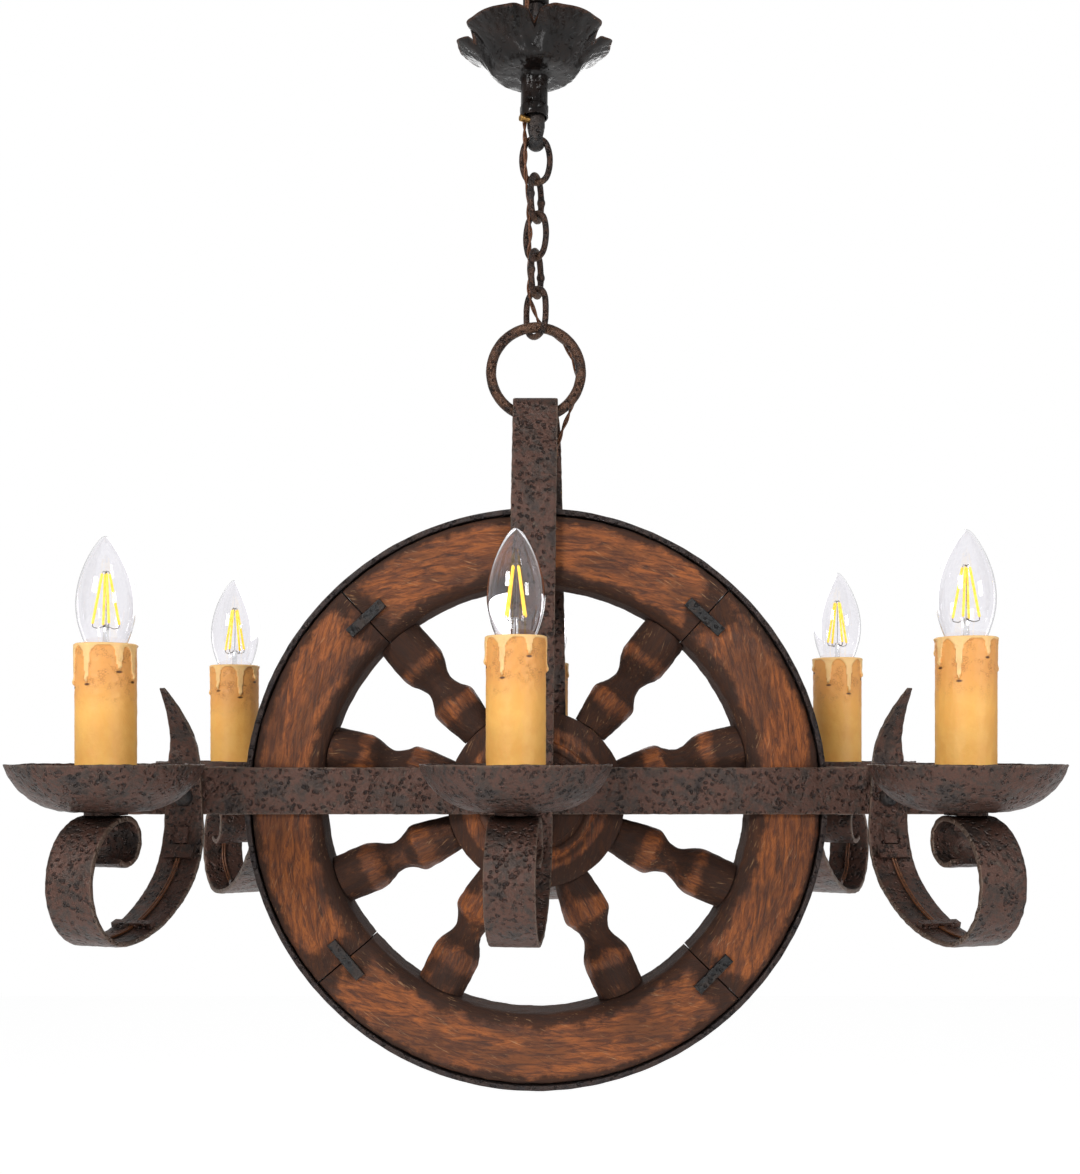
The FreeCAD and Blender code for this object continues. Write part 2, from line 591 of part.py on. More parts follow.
def rivet(arm):
    z = rivet_height()
    outside = arm.side * strap_outside
    head = dome(RIVET_HEAD / 2, RIVET_HEAD_HEIGHT, V(arm.place, outside, z), V(0, arm.side, 0))
    return fused(head, along_y(RIVET_DIAMETER / 2, arm.side * bar_inside, outside, arm.place, z))


# ---- Scroll arms --------------------------------------------------------------------------
def scroll_bends(arm):
    """(from angle, to angle, radius, centre) of each bend, the centre as (outwards, up).

    A point of the strap's middle line is the centre less the radius along (cos, sin) of its angle.
    The first two bends join the bar to the bottom of the scroll without a kink.
    """
    turn = radians(NECK_BEND)
    depth = SCROLL_TOP + 2 * arm.scroll_radius - ARM_START
    spread = (1 - cos(turn)) * (1 - sin(turn)) - sin(turn) * cos(turn)
    first = (ARM_REACH * (1 - sin(turn)) - depth * cos(turn)) / spread
    second = ((1 - cos(turn)) * depth - sin(turn) * ARM_REACH) / spread
    second_centre = (ARM_REACH, -SCROLL_TOP - 2 * arm.scroll_radius + second)
    return [
        (0, NECK_BEND, first, (first, -ARM_START)),
        (NECK_BEND, 90, second, second_centre),
        (90, 270, arm.scroll_radius, (ARM_REACH, -SCROLL_TOP - arm.scroll_radius)),
        (270, CURL_END, CURL_RADIUS, (ARM_REACH, -SCROLL_TOP - CURL_RADIUS)),
    ]


def bend_point(bend, angle, offset=0.0):
    """A point of the arm's plane; a positive offset lies on the inner side of the bend."""
    radius, centre = bend[2] - offset, bend[3]
    return V(centre[0] - radius * cos(radians(angle)), 0, centre[1] - radius * sin(radians(angle)))


def twist(arm, angle):
    """Yaw of the strap against the arm's heading: flat on the bar first, along the arm at last."""
    share = min(angle / NECK_BEND, 1)
    flat_on_bar = (0 if arm.side < 0 else 180) - arm.heading
    return radians(flat_on_bar) * (1 - share * share * (3 - 2 * share))


def arm_directions(arm, angle):
    """Across the strap, and through it towards the inner side, at an angle of the path."""
    yaw, pitch = twist(arm, angle), radians(angle)
    across = V(-sin(yaw), cos(yaw), 0)
    through = V(cos(pitch) * cos(yaw), cos(pitch) * sin(yaw), sin(pitch))
    return across, through


def placed(arm, solid):
    """Move a solid made in the arm's own frame (outwards, across, up) to its place."""
    moved = solid.copy()
    moved.rotate(ORIGIN, UP, arm.heading - 90)
    moved.translate(V(arm.place, arm.side * strap_middle, bar_middle))
    return moved


def neck(arm, start, foot_width, width, inner, outer):
    """The twisted stretch of a strap or lead from an angle of the first bend to its end."""
    steps = 4
    bend = scroll_bends(arm)[0]
    wires = []
    for i in range(steps + 1):
        angle = start + (NECK_BEND - start) * i / steps
        across, through = arm_directions(arm, angle)
        half = (foot_width + (width - foot_width) * i / steps) / 2
        wires.append(rectangle(bend_point(bend, angle), across, half, through, inner, outer))
    return Part.makeLoft(wires, True, False)


def strip(arm, stop, width, inner, outer):
    """The level stretch after the neck, as one face of arcs drawn out to the width."""
    low, high, cuts = [], [], []
    for bend in scroll_bends(arm)[1:]:
        start, end = bend[0], min(bend[1], stop)
        if start >= end:
            continue
        middle = (start + end) / 2
        for edges, offset in ((low, inner), (high, outer)):
            points = [bend_point(bend, angle, offset) for angle in (start, middle, end)]
            edges.append(Part.Arc(*points).toShape())
        cuts += [(bend, start), (bend, end)]
    caps = []
    for bend, angle in (cuts[0], cuts[-1]):
        caps.append(Part.makeLine(bend_point(bend, angle, inner), bend_point(bend, angle, outer)))
    face = Part.Face(Part.Wire(Part.__sortEdges__(low + high + caps)))
    face.translate(V(0, -width / 2, 0))
    return face.extrude(V(0, width, 0))


def lamp_hole():
    top = -SCROLL_TOP + STRAP_THICKNESS / 2
    return Part.makeCylinder(nipple_hole, 2 * STRAP_THICKNESS, V(ARM_REACH, 0, top - 1.9 * STRAP_THICKNESS))


def scroll(arm, foot_width):
    """Neck, scroll and curl of one arm, with the hole for its lamp."""
    half = STRAP_THICKNESS / 2
    bent = neck(arm, 0, foot_width, STRAP_WIDTH, -half, half)
    return fused(bent, strip(arm, CURL_END, STRAP_WIDTH, -half, half)).cut(lamp_hole())


def head_block(arm):
    """The flat stretch of a side arm on the bar, drawn in towards the top."""
    across, through = arm_directions(arm, 0)
    half = STRAP_THICKNESS / 2
    wires = []
    for height, width in ((-ARM_START, ARM_FOOT_WIDTH), (BAR_HEIGHT / 2, ARM_HEAD_WIDTH)):
        wires.append(rectangle(V(0, 0, height), across, width / 2, through, -half, half))
    block = Part.makeLoft(wires, True, True)
    if arm.horn:
        return fused(block, horn(arm))
    corners = [e for e in block.Edges if e.BoundBox.ZMin > BAR_HEIGHT / 2 - 0.1
               and abs(e.Length - STRAP_THICKNESS) < 0.1]
    return block.makeFillet(ARM_HEAD_ROUND, corners)


def horn(arm):
    """The leaf-shaped horn above the bar, which thins and leans outwards."""
    steps = 6
    half = STRAP_THICKNESS / 2
    straight = HORN_STRAIGHT / HORN_HEIGHT
    side = 1 if arm.heading > 0 else -1
    lean_yaw = radians(side * HORN_YAW - arm.heading)
    wires = []
    for i in range(steps + 1):
        share = i / steps
        bend = max(0, (share - straight) / (1 - straight))
        yaw = twist(arm, 0) * (1 - share) + lean_yaw * share
        out = HORN_REACH * bend ** HORN_CURVE
        rate = HORN_REACH * HORN_CURVE * bend ** (HORN_CURVE - 1) / (HORN_HEIGHT * (1 - straight))
        lean = atan2(rate, 1)
        spot = V(out * cos(lean_yaw), out * sin(lean_yaw), BAR_HEIGHT / 2 + HORN_HEIGHT * share)
        across = V(-sin(yaw), cos(yaw), 0)
        through = V(cos(lean) * cos(yaw), cos(lean) * sin(yaw), -sin(lean))
        width = ARM_HEAD_WIDTH + (HORN_TIP_WIDTH - ARM_HEAD_WIDTH) * share
        wires.append(rectangle(spot, across, width / 2, through, -half, half))
    return Part.makeLoft(wires, True, False)


def side_arm(arm):
    whole = placed(arm, fused(head_block(arm), scroll(arm, ARM_FOOT_WIDTH)))
    reach = (arm.side * bar_inside, arm.side * (strap_outside + 1))
    hole = along_y(RIVET_DIAMETER / 2 + BOLT_GAP / 2, *reach, arm.place, rivet_height())
    return whole.cut(hole)


def leg_section(side, middle_x, inner, outer):
    """A level cut of a strap leg; inner and outer are (y, z) of its two faces."""
    half = STRAP_WIDTH / 2
    corners = [V(middle_x - half, side * inner[0], inner[1]), V(middle_x + half, side * inner[0], inner[1]),
               V(middle_x + half, side * outer[0], outer[1]), V(middle_x - half, side * outer[0], outer[1])]
    return Part.makePolygon(corners + corners[:1])


def strap_leg(arm):
    """One leg: tangent to the fold, out to the bar, then straight down its outer face."""
    spread = radians(LEG_SPREAD)
    faces = ((FOLD_RADIUS, bar_outside), (FOLD_RADIUS + STRAP_THICKNESS, strap_outside))
    top, elbow, foot = [], [], []
    for radius, reach in faces:
        run = (reach - radius * cos(spread)) / sin(spread)
        top.append((radius * cos(spread), fold_height + radius * sin(spread)))
        elbow.append((reach, fold_height + radius * sin(spread) - run * cos(spread)))
        foot.append((reach, bar_middle - ARM_START))
    share = (top[0][1] - elbow[0][1]) / (top[0][1] - foot[0][1])
    elbow_x = FOLD_OFFSET + (arm.place - FOLD_OFFSET) * share
    sections = [leg_section(arm.side, x, *pair)
                for x, pair in ((FOLD_OFFSET, top), (elbow_x, elbow), (arm.place, foot))]
    upper = Part.makeLoft(sections[:2], True, True)
    return fused(upper, Part.makeLoft(sections[1:], True, True))


def hanging_strap():
    """One long bar: the fold over the ring, two legs and the two middle scroll arms."""
    spread = radians(LEG_SPREAD)
    outwards = V(0, cos(spread), sin(spread))
    pivot = V(FOLD_OFFSET, 0, fold_height)
    edge = rectangle(pivot, RIGHT, STRAP_WIDTH / 2, outwards, FOLD_RADIUS, FOLD_RADIUS + STRAP_THICKNESS)
    pieces = [Part.Face(edge).revolve(pivot, RIGHT, 180 - 2 * LEG_SPREAD)]
    for arm in (FRONT_MIDDLE, REAR_MIDDLE):
        pieces += [strap_leg(arm), placed(arm, scroll(arm, STRAP_WIDTH))]
    hole = along_y(bolt_hole, -strap_outside - 1, strap_outside + 1, 0, wheel_height)
    return fused(*pieces).cut(hole)


# ---- Candles ------------------------------------------------------------------------------
def candle_spot(arm):
    """The candle's axis, at the level of the pan's underside."""
    heading = radians(arm.heading)
    y = arm.side * strap_middle - ARM_REACH * cos(heading)
    return V(arm.place + ARM_REACH * sin(heading), y, pan_under)


def at_candle(arm, solid, height=0.0):
    moved = solid.copy()
    moved.rotate(ORIGIN, UP, arm.heading - 90)
    moved.translate(candle_spot(arm) + V(0, 0, height))
    return moved


def pan_profile(offset):
    """The dished outline of a drip pan's under side, or of its upper side, as edges."""
    width = PAN_RIM_RADIUS - PAN_FLOOR_RADIUS
    radius = (width ** 2 + PAN_DEPTH ** 2) / (2 * PAN_DEPTH)
    lean = asin(width / radius)
    inner = radius - offset
    centre = V(PAN_FLOOR_RADIUS, 0, radius)
    points = [centre + V(inner * sin(lean * part), 0, -inner * cos(lean * part)) for part in (0, 0.5, 1)]
    return points, Part.Arc(*points).toShape()


def drip_pan():
    under, under_edge = pan_profile(0)
    upper, upper_edge = pan_profile(PAN_SHEET)
    edges = [
        Part.makeLine(V(nipple_hole, 0, 0), under[0]), under_edge, Part.makeLine(under[-1], upper[-1]), upper_edge,
        Part.makeLine(upper[0], V(nipple_hole, 0, PAN_SHEET)),
        Part.makeLine(V(nipple_hole, 0, PAN_SHEET), V(nipple_hole, 0, 0)),
    ]
    return Part.Face(Part.Wire(Part.__sortEdges__(edges))).revolve(ORIGIN, UP, 360)


def candle_sleeve(height):
    inner = SLEEVE_RADIUS - SLEEVE_WALL
    return turned([
        (inner, 0), (SLEEVE_RADIUS, 0), (SLEEVE_RADIUS, height - 1.5), (SLEEVE_RADIUS - 1.5, height),
        (SLEEVE_LIP_RADIUS, height), (SLEEVE_LIP_RADIUS, height - SLEEVE_LIP_HEIGHT),
        (inner, height - SLEEVE_LIP_HEIGHT - (inner - SLEEVE_LIP_RADIUS)),
    ])


def lampholder(height):
    """Base on the pan, hollow stem and barrel; the bulb's cap goes in from above."""
    top = height - HOLDER_DROP
    barrel = top - HOLDER_BARREL
    bore = CAP_RADIUS + 0.4
    bore_floor = top - CAP_LENGTH - CAP_CONTACT_HEIGHT - 1
    nipple = NIPPLE_DIAMETER / 2 + 0.05
    socket = NIPPLE_INTO_HOLDER + 1
    return turned([
        (nipple, 0), (HOLDER_BASE_RADIUS, 0), (HOLDER_BASE_RADIUS, HOLDER_BASE_HEIGHT),
        (HOLDER_STEM, HOLDER_BASE_HEIGHT), (HOLDER_STEM, barrel), (HOLDER_RADIUS, barrel + 3),
        (HOLDER_RADIUS, top), (bore, top), (bore, bore_floor), (NIPPLE_BORE / 2, bore_floor),
        (NIPPLE_BORE / 2, socket), (nipple, socket),
    ])


def lamp_fixing():
    """Nipple, nut under the strap and washer between strap and pan, from the pan's underside."""
    strap_under = -WASHER_THICKNESS - STRAP_THICKNESS
    curl_inside = CURL_RADIUS - STRAP_THICKNESS / 2
    sag = curl_inside - sqrt(curl_inside ** 2 - (LAMP_NUT_WIDTH / 2) ** 2)
    nut_top = strap_under - sag - 0.1
    nut = hexagon(LAMP_NUT_WIDTH, LAMP_NUT_HEIGHT, V(0, 0, nut_top - LAMP_NUT_HEIGHT), UP)
    tail = nut_top - LAMP_NUT_HEIGHT - NIPPLE_TAIL
    length = PAN_SHEET + NIPPLE_INTO_HOLDER - tail
    nipple = Part.makeCylinder(NIPPLE_DIAMETER / 2, length, V(0, 0, tail))
    nipple = nipple.cut(Part.makeCylinder(NIPPLE_BORE / 2, length, V(0, 0, tail)))
    thread = Part.makeCylinder(NIPPLE_DIAMETER / 2 + 0.05, length, V(0, 0, tail))
    washer = Part.makeCylinder(WASHER_RADIUS, WASHER_THICKNESS, V(0, 0, -WASHER_THICKNESS))
    washer = washer.cut(Part.makeCylinder(nipple_hole, WASHER_THICKNESS, V(0, 0, -WASHER_THICKNESS)))
    return nipple, nut.cut(thread), washer


def glass_outline(wall):
    """Radii and heights of the bulb's glass from its neck to its tip, less a wall."""
    return [
        V(GLASS_NECK_RADIUS - wall, 0, 0.2 - HOLDER_DROP),
        V(GLASS_LIP_RADIUS - wall, 0, 0),
        V(GLASS_RADIUS - wall, 0, GLASS_BELLY),
        V(GLASS_RADIUS * 0.62 - wall, 0, GLASS_BELLY + (GLASS_TIP - GLASS_BELLY) * 0.58),
        V(0, 0, GLASS_TIP - wall),
    ]


def bulb_glass():
    """A flame-shaped bulb, hollow, from the mouth of its cap; height 0 is the sleeve's top."""
    bodies = []
    for wall in (0, GLASS_WALL):
        points = glass_outline(wall)
        curve = Part.BSplineCurve()
        curve.interpolate(points)
        foot = V(0, 0, points[0].z)
        edges = [curve.toShape(), Part.makeLine(points[-1], foot), Part.makeLine(foot, points[0])]
        bodies.append(Part.Face(Part.Wire(edges)).revolve(ORIGIN, UP, 360))
    return bodies[0].cut(bodies[1])


def bulb_cap():
    top = -HOLDER_DROP
    foot = top - CAP_LENGTH
    cap = Part.makeCylinder(CAP_RADIUS, CAP_LENGTH, V(0, 0, foot))
    return fused(cap, Part.makeCylinder(CAP_CONTACT_RADIUS, CAP_CONTACT_HEIGHT, V(0, 0, foot - CAP_CONTACT_HEIGHT)))


def bulb_filament():
    """A glass stem with lead wires, and four glowing sticks that lean together."""
    stick_foot = STEM_HEIGHT
    stem = Part.makeCylinder(STEM_RADIUS, HOLDER_DROP + STEM_HEIGHT, V(0, 0, -HOLDER_DROP))
    wires = [stem]
    sticks = []
    rise = sqrt(STICK_LENGTH ** 2 - (STICK_FOOT_OUT - STICK_HEAD_OUT) ** 2)
    for i in range(4):
        out = V(cos(radians(45 + 90 * i)), sin(radians(45 + 90 * i)), 0)
        foot = out * STICK_FOOT_OUT + V(0, 0, stick_foot)
        head = out * STICK_HEAD_OUT + V(0, 0, stick_foot + rise)
        wires.append(cylinder_between(V(0, 0, stick_foot - 2), foot - V(0, 0, 0.6), LEAD_WIRE))
        sticks.append(cylinder_between(foot, head, STICK_RADIUS))
    return [fused(*wires)] + sticks


# ---- Leads along the arms -----------------------------------------------------------------
def arm_lead(arm):
    inner = STRAP_THICKNESS / 2 + LEAD_GAP
    outer = inner + LEAD_THICKNESS
    bent = neck(arm, LEAD_FROM, LEAD_WIDTH, LEAD_WIDTH, inner, outer)
    return placed(arm, fused(bent, strip(arm, LEAD_TO, LEAD_WIDTH, inner, outer)))


def clip(arm, size, bend):
    """A bridge over the lead that follows the strap under it, its feet just above the strap."""
    width, length, place = size
    foot = STRAP_THICKNESS / 2 + CLIP_GAP
    roof = STRAP_THICKNESS / 2 + LEAD_GAP + LEAD_THICKNESS + CLIP_GAP
    half, channel = width / 2, (LEAD_WIDTH + 1) / 2
    outline = [(half, foot), (half, roof + CLIP_SHEET), (-half, roof + CLIP_SHEET), (-half, foot),
               (-channel, foot), (-channel, roof), (channel, roof), (channel, foot)]
    wires = []
    for part in (-0.5, 0, 0.5):
        angle = bend[0] + degrees((place + part * length) / bend[2])
        across, through = arm_directions(arm, angle)
        spot = bend_point(bend, angle)
        corners = [spot + across * u + through * w for u, w in outline]
        wires.append(Part.makePolygon(corners + corners[:1]))
    return placed(arm, Part.makeLoft(wires, True, False))


def arm_clips(arm):
    bends = scroll_bends(arm)
    return [clip(arm, FERRULE, bends[0]), clip(arm, UPPER_CLIP, bends[0]), clip(arm, LOWER_CLIP, bends[1])]


# ---- Flex down the chain ------------------------------------------------------------------
# Route from the ceiling, down beside the rod, through the links, behind the ring and down
# between the rear leg and the wheel to the rear bar. Chosen by hand.
FLEX_ROUTE = [
    (-6.0, -11.4, 0.0), (-6.0, -11.4, -16.0), (-7.6, -3.0, -34.0), (-7.85, 0.1, -52.0),
    (-7.9, 0.2, -72.0), (-7.85, 0.3, -91.0), (-7.6, -4.3, -104.5), (-7.3, -4.5, -116.0),
    (-7.2, -4.5, -131.0), (-5.0, -3.0, -143.0), (-5.3, -1.0, -156.0), (-3.4, -1.3, -168.5),
    (-5.2, -1.2, -181.5), (-4.4, -1.6, -195.0), (-5.2, -1.0, -209.0), (-1.5, 2.4, -219.5),
    (3.0, 6.2, -231.0), (12.0, 6.6, -244.0), (19.5, 6.6, -262.0), (20.5, 6.4, -284.0),
    (17.6, 5.6, -303.0), (12.5, 5.0, -322.0), (11.5, 13.8, -341.5), (11.0, 24.5, -357.0),
    (10.5, 24.0, -378.0), (9.5, 24.0, -412.0), (8.0, 24.0, -452.0), (7.0, 24.0, -492.0),
    (7.5, 24.0, -535.6),
]
FLEX_SPLITS = (7, 9, 11, 13, 15, 18)    # a stretch ends in the middle of these runs


def route_edges():
    """Straight runs joined by tangent arcs; each run is kept as two halves."""
    points = [V(*p) for p in FLEX_ROUTE]
    runs = len(points) - 1
    marks = [[points[i]] for i in range(runs)]
    arcs = [None] * len(points)
    for i in range(1, runs):
        before, after = points[i] - points[i - 1], points[i + 1] - points[i]
        reach = 0.45 * min(before.Length, after.Length)
        start = points[i] - before * (reach / before.Length)
        end = points[i] + after * (reach / after.Length)
        turn = before.getAngle(after)
        radius = reach / tan(turn / 2)
        inwards = (start + end) * 0.5 - points[i]
        inwards.normalize()
        middle = points[i] + inwards * (sqrt(radius ** 2 + reach ** 2) - radius)
        arcs[i] = Part.Arc(start, middle, end).toShape()
        marks[i - 1].append(start)
        marks[i][0] = end
        print(f"flex point {i}: turns {degrees(turn):.0f} degrees at radius {radius:.1f} mm")
    marks[-1].append(points[-1])
    return marks, arcs


def flex_stretches():
    """The flex, cut into the stretches that each follow one swinging joint."""
    marks, arcs = route_edges()
    stretches, edges = [], []
    for i, (start, end) in enumerate(marks):
        if arcs[i]:
            edges.append(arcs[i])
        if i in FLEX_SPLITS:
            middle = (start + end) * 0.5
            stretches.append(edges + [Part.makeLine(start, middle)])
            edges = [Part.makeLine(middle, end)]
        else:
            edges.append(Part.makeLine(start, end))
    stretches.append(edges)
    tubes = []
    for edges in stretches:
        path = Part.Wire(edges)
        first = edges[0]
        disc = Part.Wire(Part.makeCircle(FLEX_DIAMETER / 2, first.valueAt(first.FirstParameter),
                                         first.tangentAt(first.FirstParameter)))
        tube = path.makePipeShell([disc], True, False)
        section = pi * FLEX_DIAMETER ** 2 / 4
        print(f"flex stretch: volume is {tube.Volume / (section * path.Length):.3f} of section times length")
        tubes.append(tube)
    return tubes


# ---- Build --------------------------------------------------------------------------------
def build():
    os.makedirs("parts", exist_ok=True)
    save("hanging_rod", hanging_rod())
    save("canopy", canopy())
    save("canopy_screw", canopy_screw())
    for i, link in enumerate(chain_links()):
        save(f"chain_link_{i + 1}", link)
    save("hanging_ring", hanging_ring())
    save("hanging_strap", hanging_strap())
    save("front_bar", bar(FRONT_BAR_LENGTH, -1))
    save("rear_bar", bar(REAR_BAR_LENGTH, 1))
    save("end_ties", end_tie(-TIE_PLACE), end_tie(TIE_PLACE))
    save("centre_bolt", *centre_bolt())
    save("tyre", tyre())
    for i in range(len(FELLOE_JOINTS)):
        save(f"felloe_{i + 1}", felloe(i))
    save("hub", hub())
    for i, angle in enumerate(SPOKE_ANGLES):
        save(f"spoke_{i + 1}", round_wheel(spoke(), angle))
    save("felloe_cramps", *[round_wheel(cramp(side), joint) for joint in FELLOE_JOINTS for side in (-1, 1)])
    for arm in SIDE_ARMS:
        save(arm.node, side_arm(arm))
    save("arm_rivets", *[rivet(arm) for arm in SIDE_ARMS])
    for i, arm in enumerate(ARMS):
        save(f"drip_pan_{i + 1}", at_candle(arm, drip_pan()))
        save(f"candle_sleeve_{i + 1}", at_candle(arm, candle_sleeve(arm.sleeve_height), PAN_SHEET))
    save("lampholders", *[at_candle(arm, lampholder(arm.sleeve_height), PAN_SHEET) for arm in ARMS])
    save("lamp_fixings", *[at_candle(arm, solid) for arm in ARMS for solid in lamp_fixing()])
    tops = [(arm, PAN_SHEET + arm.sleeve_height) for arm in ARMS]
    save("bulb_glasses", *[at_candle(arm, bulb_glass(), top) for arm, top in tops])
    save("bulb_caps", *[at_candle(arm, bulb_cap(), top) for arm, top in tops])
    save("bulb_filaments", *[at_candle(arm, solid, top) for arm, top in tops for solid in bulb_filament()])
    save("wire_clips", *[solid for arm in ARMS for solid in arm_clips(arm)])
    save("arm_leads", *[arm_lead(arm) for arm in ARMS])
    for i, tube in enumerate(flex_stretches()):
        save(f"flex_{i + 1}", tube)


build()
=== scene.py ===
"""Dressed scene of the wagon wheel chandelier.

Sizes are millimetres in the model's frame (+Z up, -Y the front) and become metres in the meshes.
Angles round the wheel run from +X towards +Z, seen from the front.
"""

import logging
from dataclasses import dataclass, field
from enum import Enum

import bpy
import numpy as np
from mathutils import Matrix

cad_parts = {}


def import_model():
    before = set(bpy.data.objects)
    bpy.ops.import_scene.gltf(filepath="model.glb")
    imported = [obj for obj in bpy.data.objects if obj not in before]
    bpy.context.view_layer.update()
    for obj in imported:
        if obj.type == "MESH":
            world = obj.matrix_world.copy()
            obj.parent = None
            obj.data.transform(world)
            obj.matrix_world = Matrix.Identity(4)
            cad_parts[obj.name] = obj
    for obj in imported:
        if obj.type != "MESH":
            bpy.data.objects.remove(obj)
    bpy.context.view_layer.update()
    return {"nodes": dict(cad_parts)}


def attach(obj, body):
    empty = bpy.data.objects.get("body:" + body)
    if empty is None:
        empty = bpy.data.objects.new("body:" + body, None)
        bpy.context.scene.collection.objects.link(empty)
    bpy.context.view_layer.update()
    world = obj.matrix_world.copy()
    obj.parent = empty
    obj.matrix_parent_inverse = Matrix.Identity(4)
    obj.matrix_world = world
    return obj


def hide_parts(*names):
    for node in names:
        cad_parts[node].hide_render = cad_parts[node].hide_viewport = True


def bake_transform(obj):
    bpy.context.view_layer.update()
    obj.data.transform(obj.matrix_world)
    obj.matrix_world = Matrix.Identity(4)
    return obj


log = logging.getLogger("chandelier")
Socket = bpy.types.NodeSocket
Material = bpy.types.Material
Value = float | Socket    # a number, or another node's output
Colour = tuple | Socket    # a colour, or another node's output

TAU = 2 * np.pi
WHEEL_HEIGHT = -557.98
BARS_MIDDLE = -551.98
STRAP_MIDDLE = 28.0
STRAP_HALF = 2.0
PAN_UNDER = -561.98
PAN_SHEET = 1.5
LEAD_GAP = 0.15
SHARP_ANGLE = np.radians(38)


class Side(Enum):
    """Face of the wheel that an arm stands on."""

    FRONT = -1
    REAR = 1


# ---- Numpy shapes -------------------------------------------------------------------------
def ripple(points: np.ndarray, size: float, seed: int) -> np.ndarray:
    """Smooth hand-worked unevenness from -1 to 1.

    A sum of seven sine waves, each along its own fixed direction with its own phase.

    Args:
        points: places in millimetres, shape (..., 3).
        size: length of a typical wave in millimetres.
        seed: picks the directions and phases.

    Returns:
        One number for each place.
    """
    dice = np.random.default_rng(seed)
    ways = dice.normal(size=(7, 3))
    ways *= (dice.uniform(0.7, 1.9, 7) / np.linalg.norm(ways, axis=1) * TAU / size)[:, None]
    waves = np.sin(points @ ways.T + dice.uniform(0, TAU, 7))
    return waves.sum(axis=-1) / 4.0


def rounded_box(half_wide: float, half_thick: float, radius: float, cuts: int) -> np.ndarray:
    """Outline of a bar's section: straight sides joined by quarter circles.

    Args:
        half_wide: half the width.
        half_thick: half the thickness.
        radius: of the corners.
        cuts: points along each wide side.

    Returns:
        Points (across, through) going once round.
    """
    turn = np.linspace(0, np.pi / 2, 4)
    corner = np.stack([np.cos(turn), np.sin(turn)], 1) * radius
    wide, thick = half_wide - radius, half_thick - radius
    side = np.linspace(1, -1, cuts + 2)[1:-1] * wide
    rows = [
        corner + [wide, thick],
        np.stack([side, np.full(cuts, half_thick)], 1),
        corner[::-1] * [-1, 1] + [-wide, thick],
        corner * [-1, -1] + [-wide, -thick],
        np.stack([-side, np.full(cuts, -half_thick)], 1),
        corner[::-1] * [1, -1] + [wide, -thick],
    ]
    return np.concatenate(rows)


def carried(spots: np.ndarray, across: np.ndarray, section: np.ndarray,
            wide: np.ndarray | float = 1.0, thick: np.ndarray | float = 1.0) -> np.ndarray:
    """Carry a section along a path.

    Each row is the spot plus the section's width along 'across' and its thickness along the
    direction square to both 'across' and the path.

    Args:
        spots: the path, (n, 3).
        across: width direction at each spot, (n, 3).
        section: (k, 2) outline.
        wide: factor on the width, one or one a spot.
        thick: factor on the thickness, one or one a spot.

    Returns:
        A grid (n, k, 3).
    """
    along = np.gradient(spots, axis=0)
    through = np.cross(along, across)
    through /= np.linalg.norm(through, axis=1, keepdims=True)
    wide = np.broadcast_to(wide, len(spots))[:, None, None]
    thick = np.broadcast_to(thick, len(spots))[:, None, None]
    flat = across[:, None] * section[None, :, :1] * wide
    return spots[:, None] + flat + through[:, None] * section[None, :, 1:] * thick


def round_wire(spots: np.ndarray, across: np.ndarray, radius: np.ndarray | float,
               sides: int = 14) -> np.ndarray:
    """A wire: a circle of the given radius carried along the path, as a grid.

    Args:
        spots: the path, (n, 3).
        across: a direction square to the path at each spot, (n, 3).
        radius: of the wire, one or one a spot.
        sides: points round the circle.

    Returns:
        A grid (n, sides, 3).
    """
    turn = np.linspace(0, TAU, sides, endpoint=False)
    circle = np.stack([np.cos(turn), np.sin(turn)], 1)
    return carried(spots, across, circle, radius, radius)


def closed_ends(spots: np.ndarray, radius: float) -> np.ndarray:
    """Radii along a wire that shrink as a quarter circle over its first and last radius.

    Args:
        spots: the path, (n, 3).
        radius: of the wire away from its ends.

    Returns:
        One radius for each spot.
    """
    steps = np.linalg.norm(np.diff(spots, axis=0), axis=1)
    run = np.concatenate([[0], np.cumsum(steps)])
    near = np.minimum(np.minimum(run, run[-1] - run), radius) / radius
    return radius * np.sqrt(np.maximum(1 - (1 - near) ** 2, 0.02))


def turned(profile: np.ndarray, steps: int) -> np.ndarray:
    """Turn an outline of (radius, height) about Z: rows follow the outline, columns go round.

    Args:
        profile: (n, 2) outline.
        steps: columns round the axis.

    Returns:
        A grid (n, steps, 3).
    """
    turn = np.linspace(0, TAU, steps, endpoint=False)
    x = profile[:, :1] * np.cos(turn)
    y = profile[:, :1] * np.sin(turn)
    return np.stack([x, y, np.broadcast_to(profile[:, 1:], x.shape)], -1)


def softened(values: np.ndarray, passes: int) -> np.ndarray:
    """Repeat a running mean of three rows, ends held, which rounds the corners of a line.

    Args:
        values: rows of numbers or points.
        passes: how often the mean is taken.

    Returns:
        The softened rows.
    """
    for _ in range(passes):
        values = values.copy()
        values[1:-1] = (values[:-2] + 2 * values[1:-1] + values[2:]) / 4
    return values


def resampled(points: np.ndarray, step: float) -> np.ndarray:
    """Points at an even spacing along a line of straight runs.

    Args:
        points: corners of the line, (n, k).
        step: spacing wanted.

    Returns:
        The points, both ends kept, (m, k).
    """
    run = np.concatenate([[0], np.cumsum(np.linalg.norm(np.diff(points, axis=0), axis=1))])
    marks = np.linspace(0, run[-1], max(2, int(run[-1] / step) + 1))
    return np.stack([np.interp(marks, run, points[:, i]) for i in range(points.shape[1])], 1)


def about_z(points: np.ndarray, angle: float) -> np.ndarray:
    """Turn points about the vertical by an angle in degrees.

    Args:
        points: (..., 3).
        angle: from +X towards +Y.

    Returns:
        The turned points.
    """
    c, s = np.cos(np.radians(angle)), np.sin(np.radians(angle))
    return points @ np.array([[c, s, 0], [-s, c, 0], [0, 0, 1]])


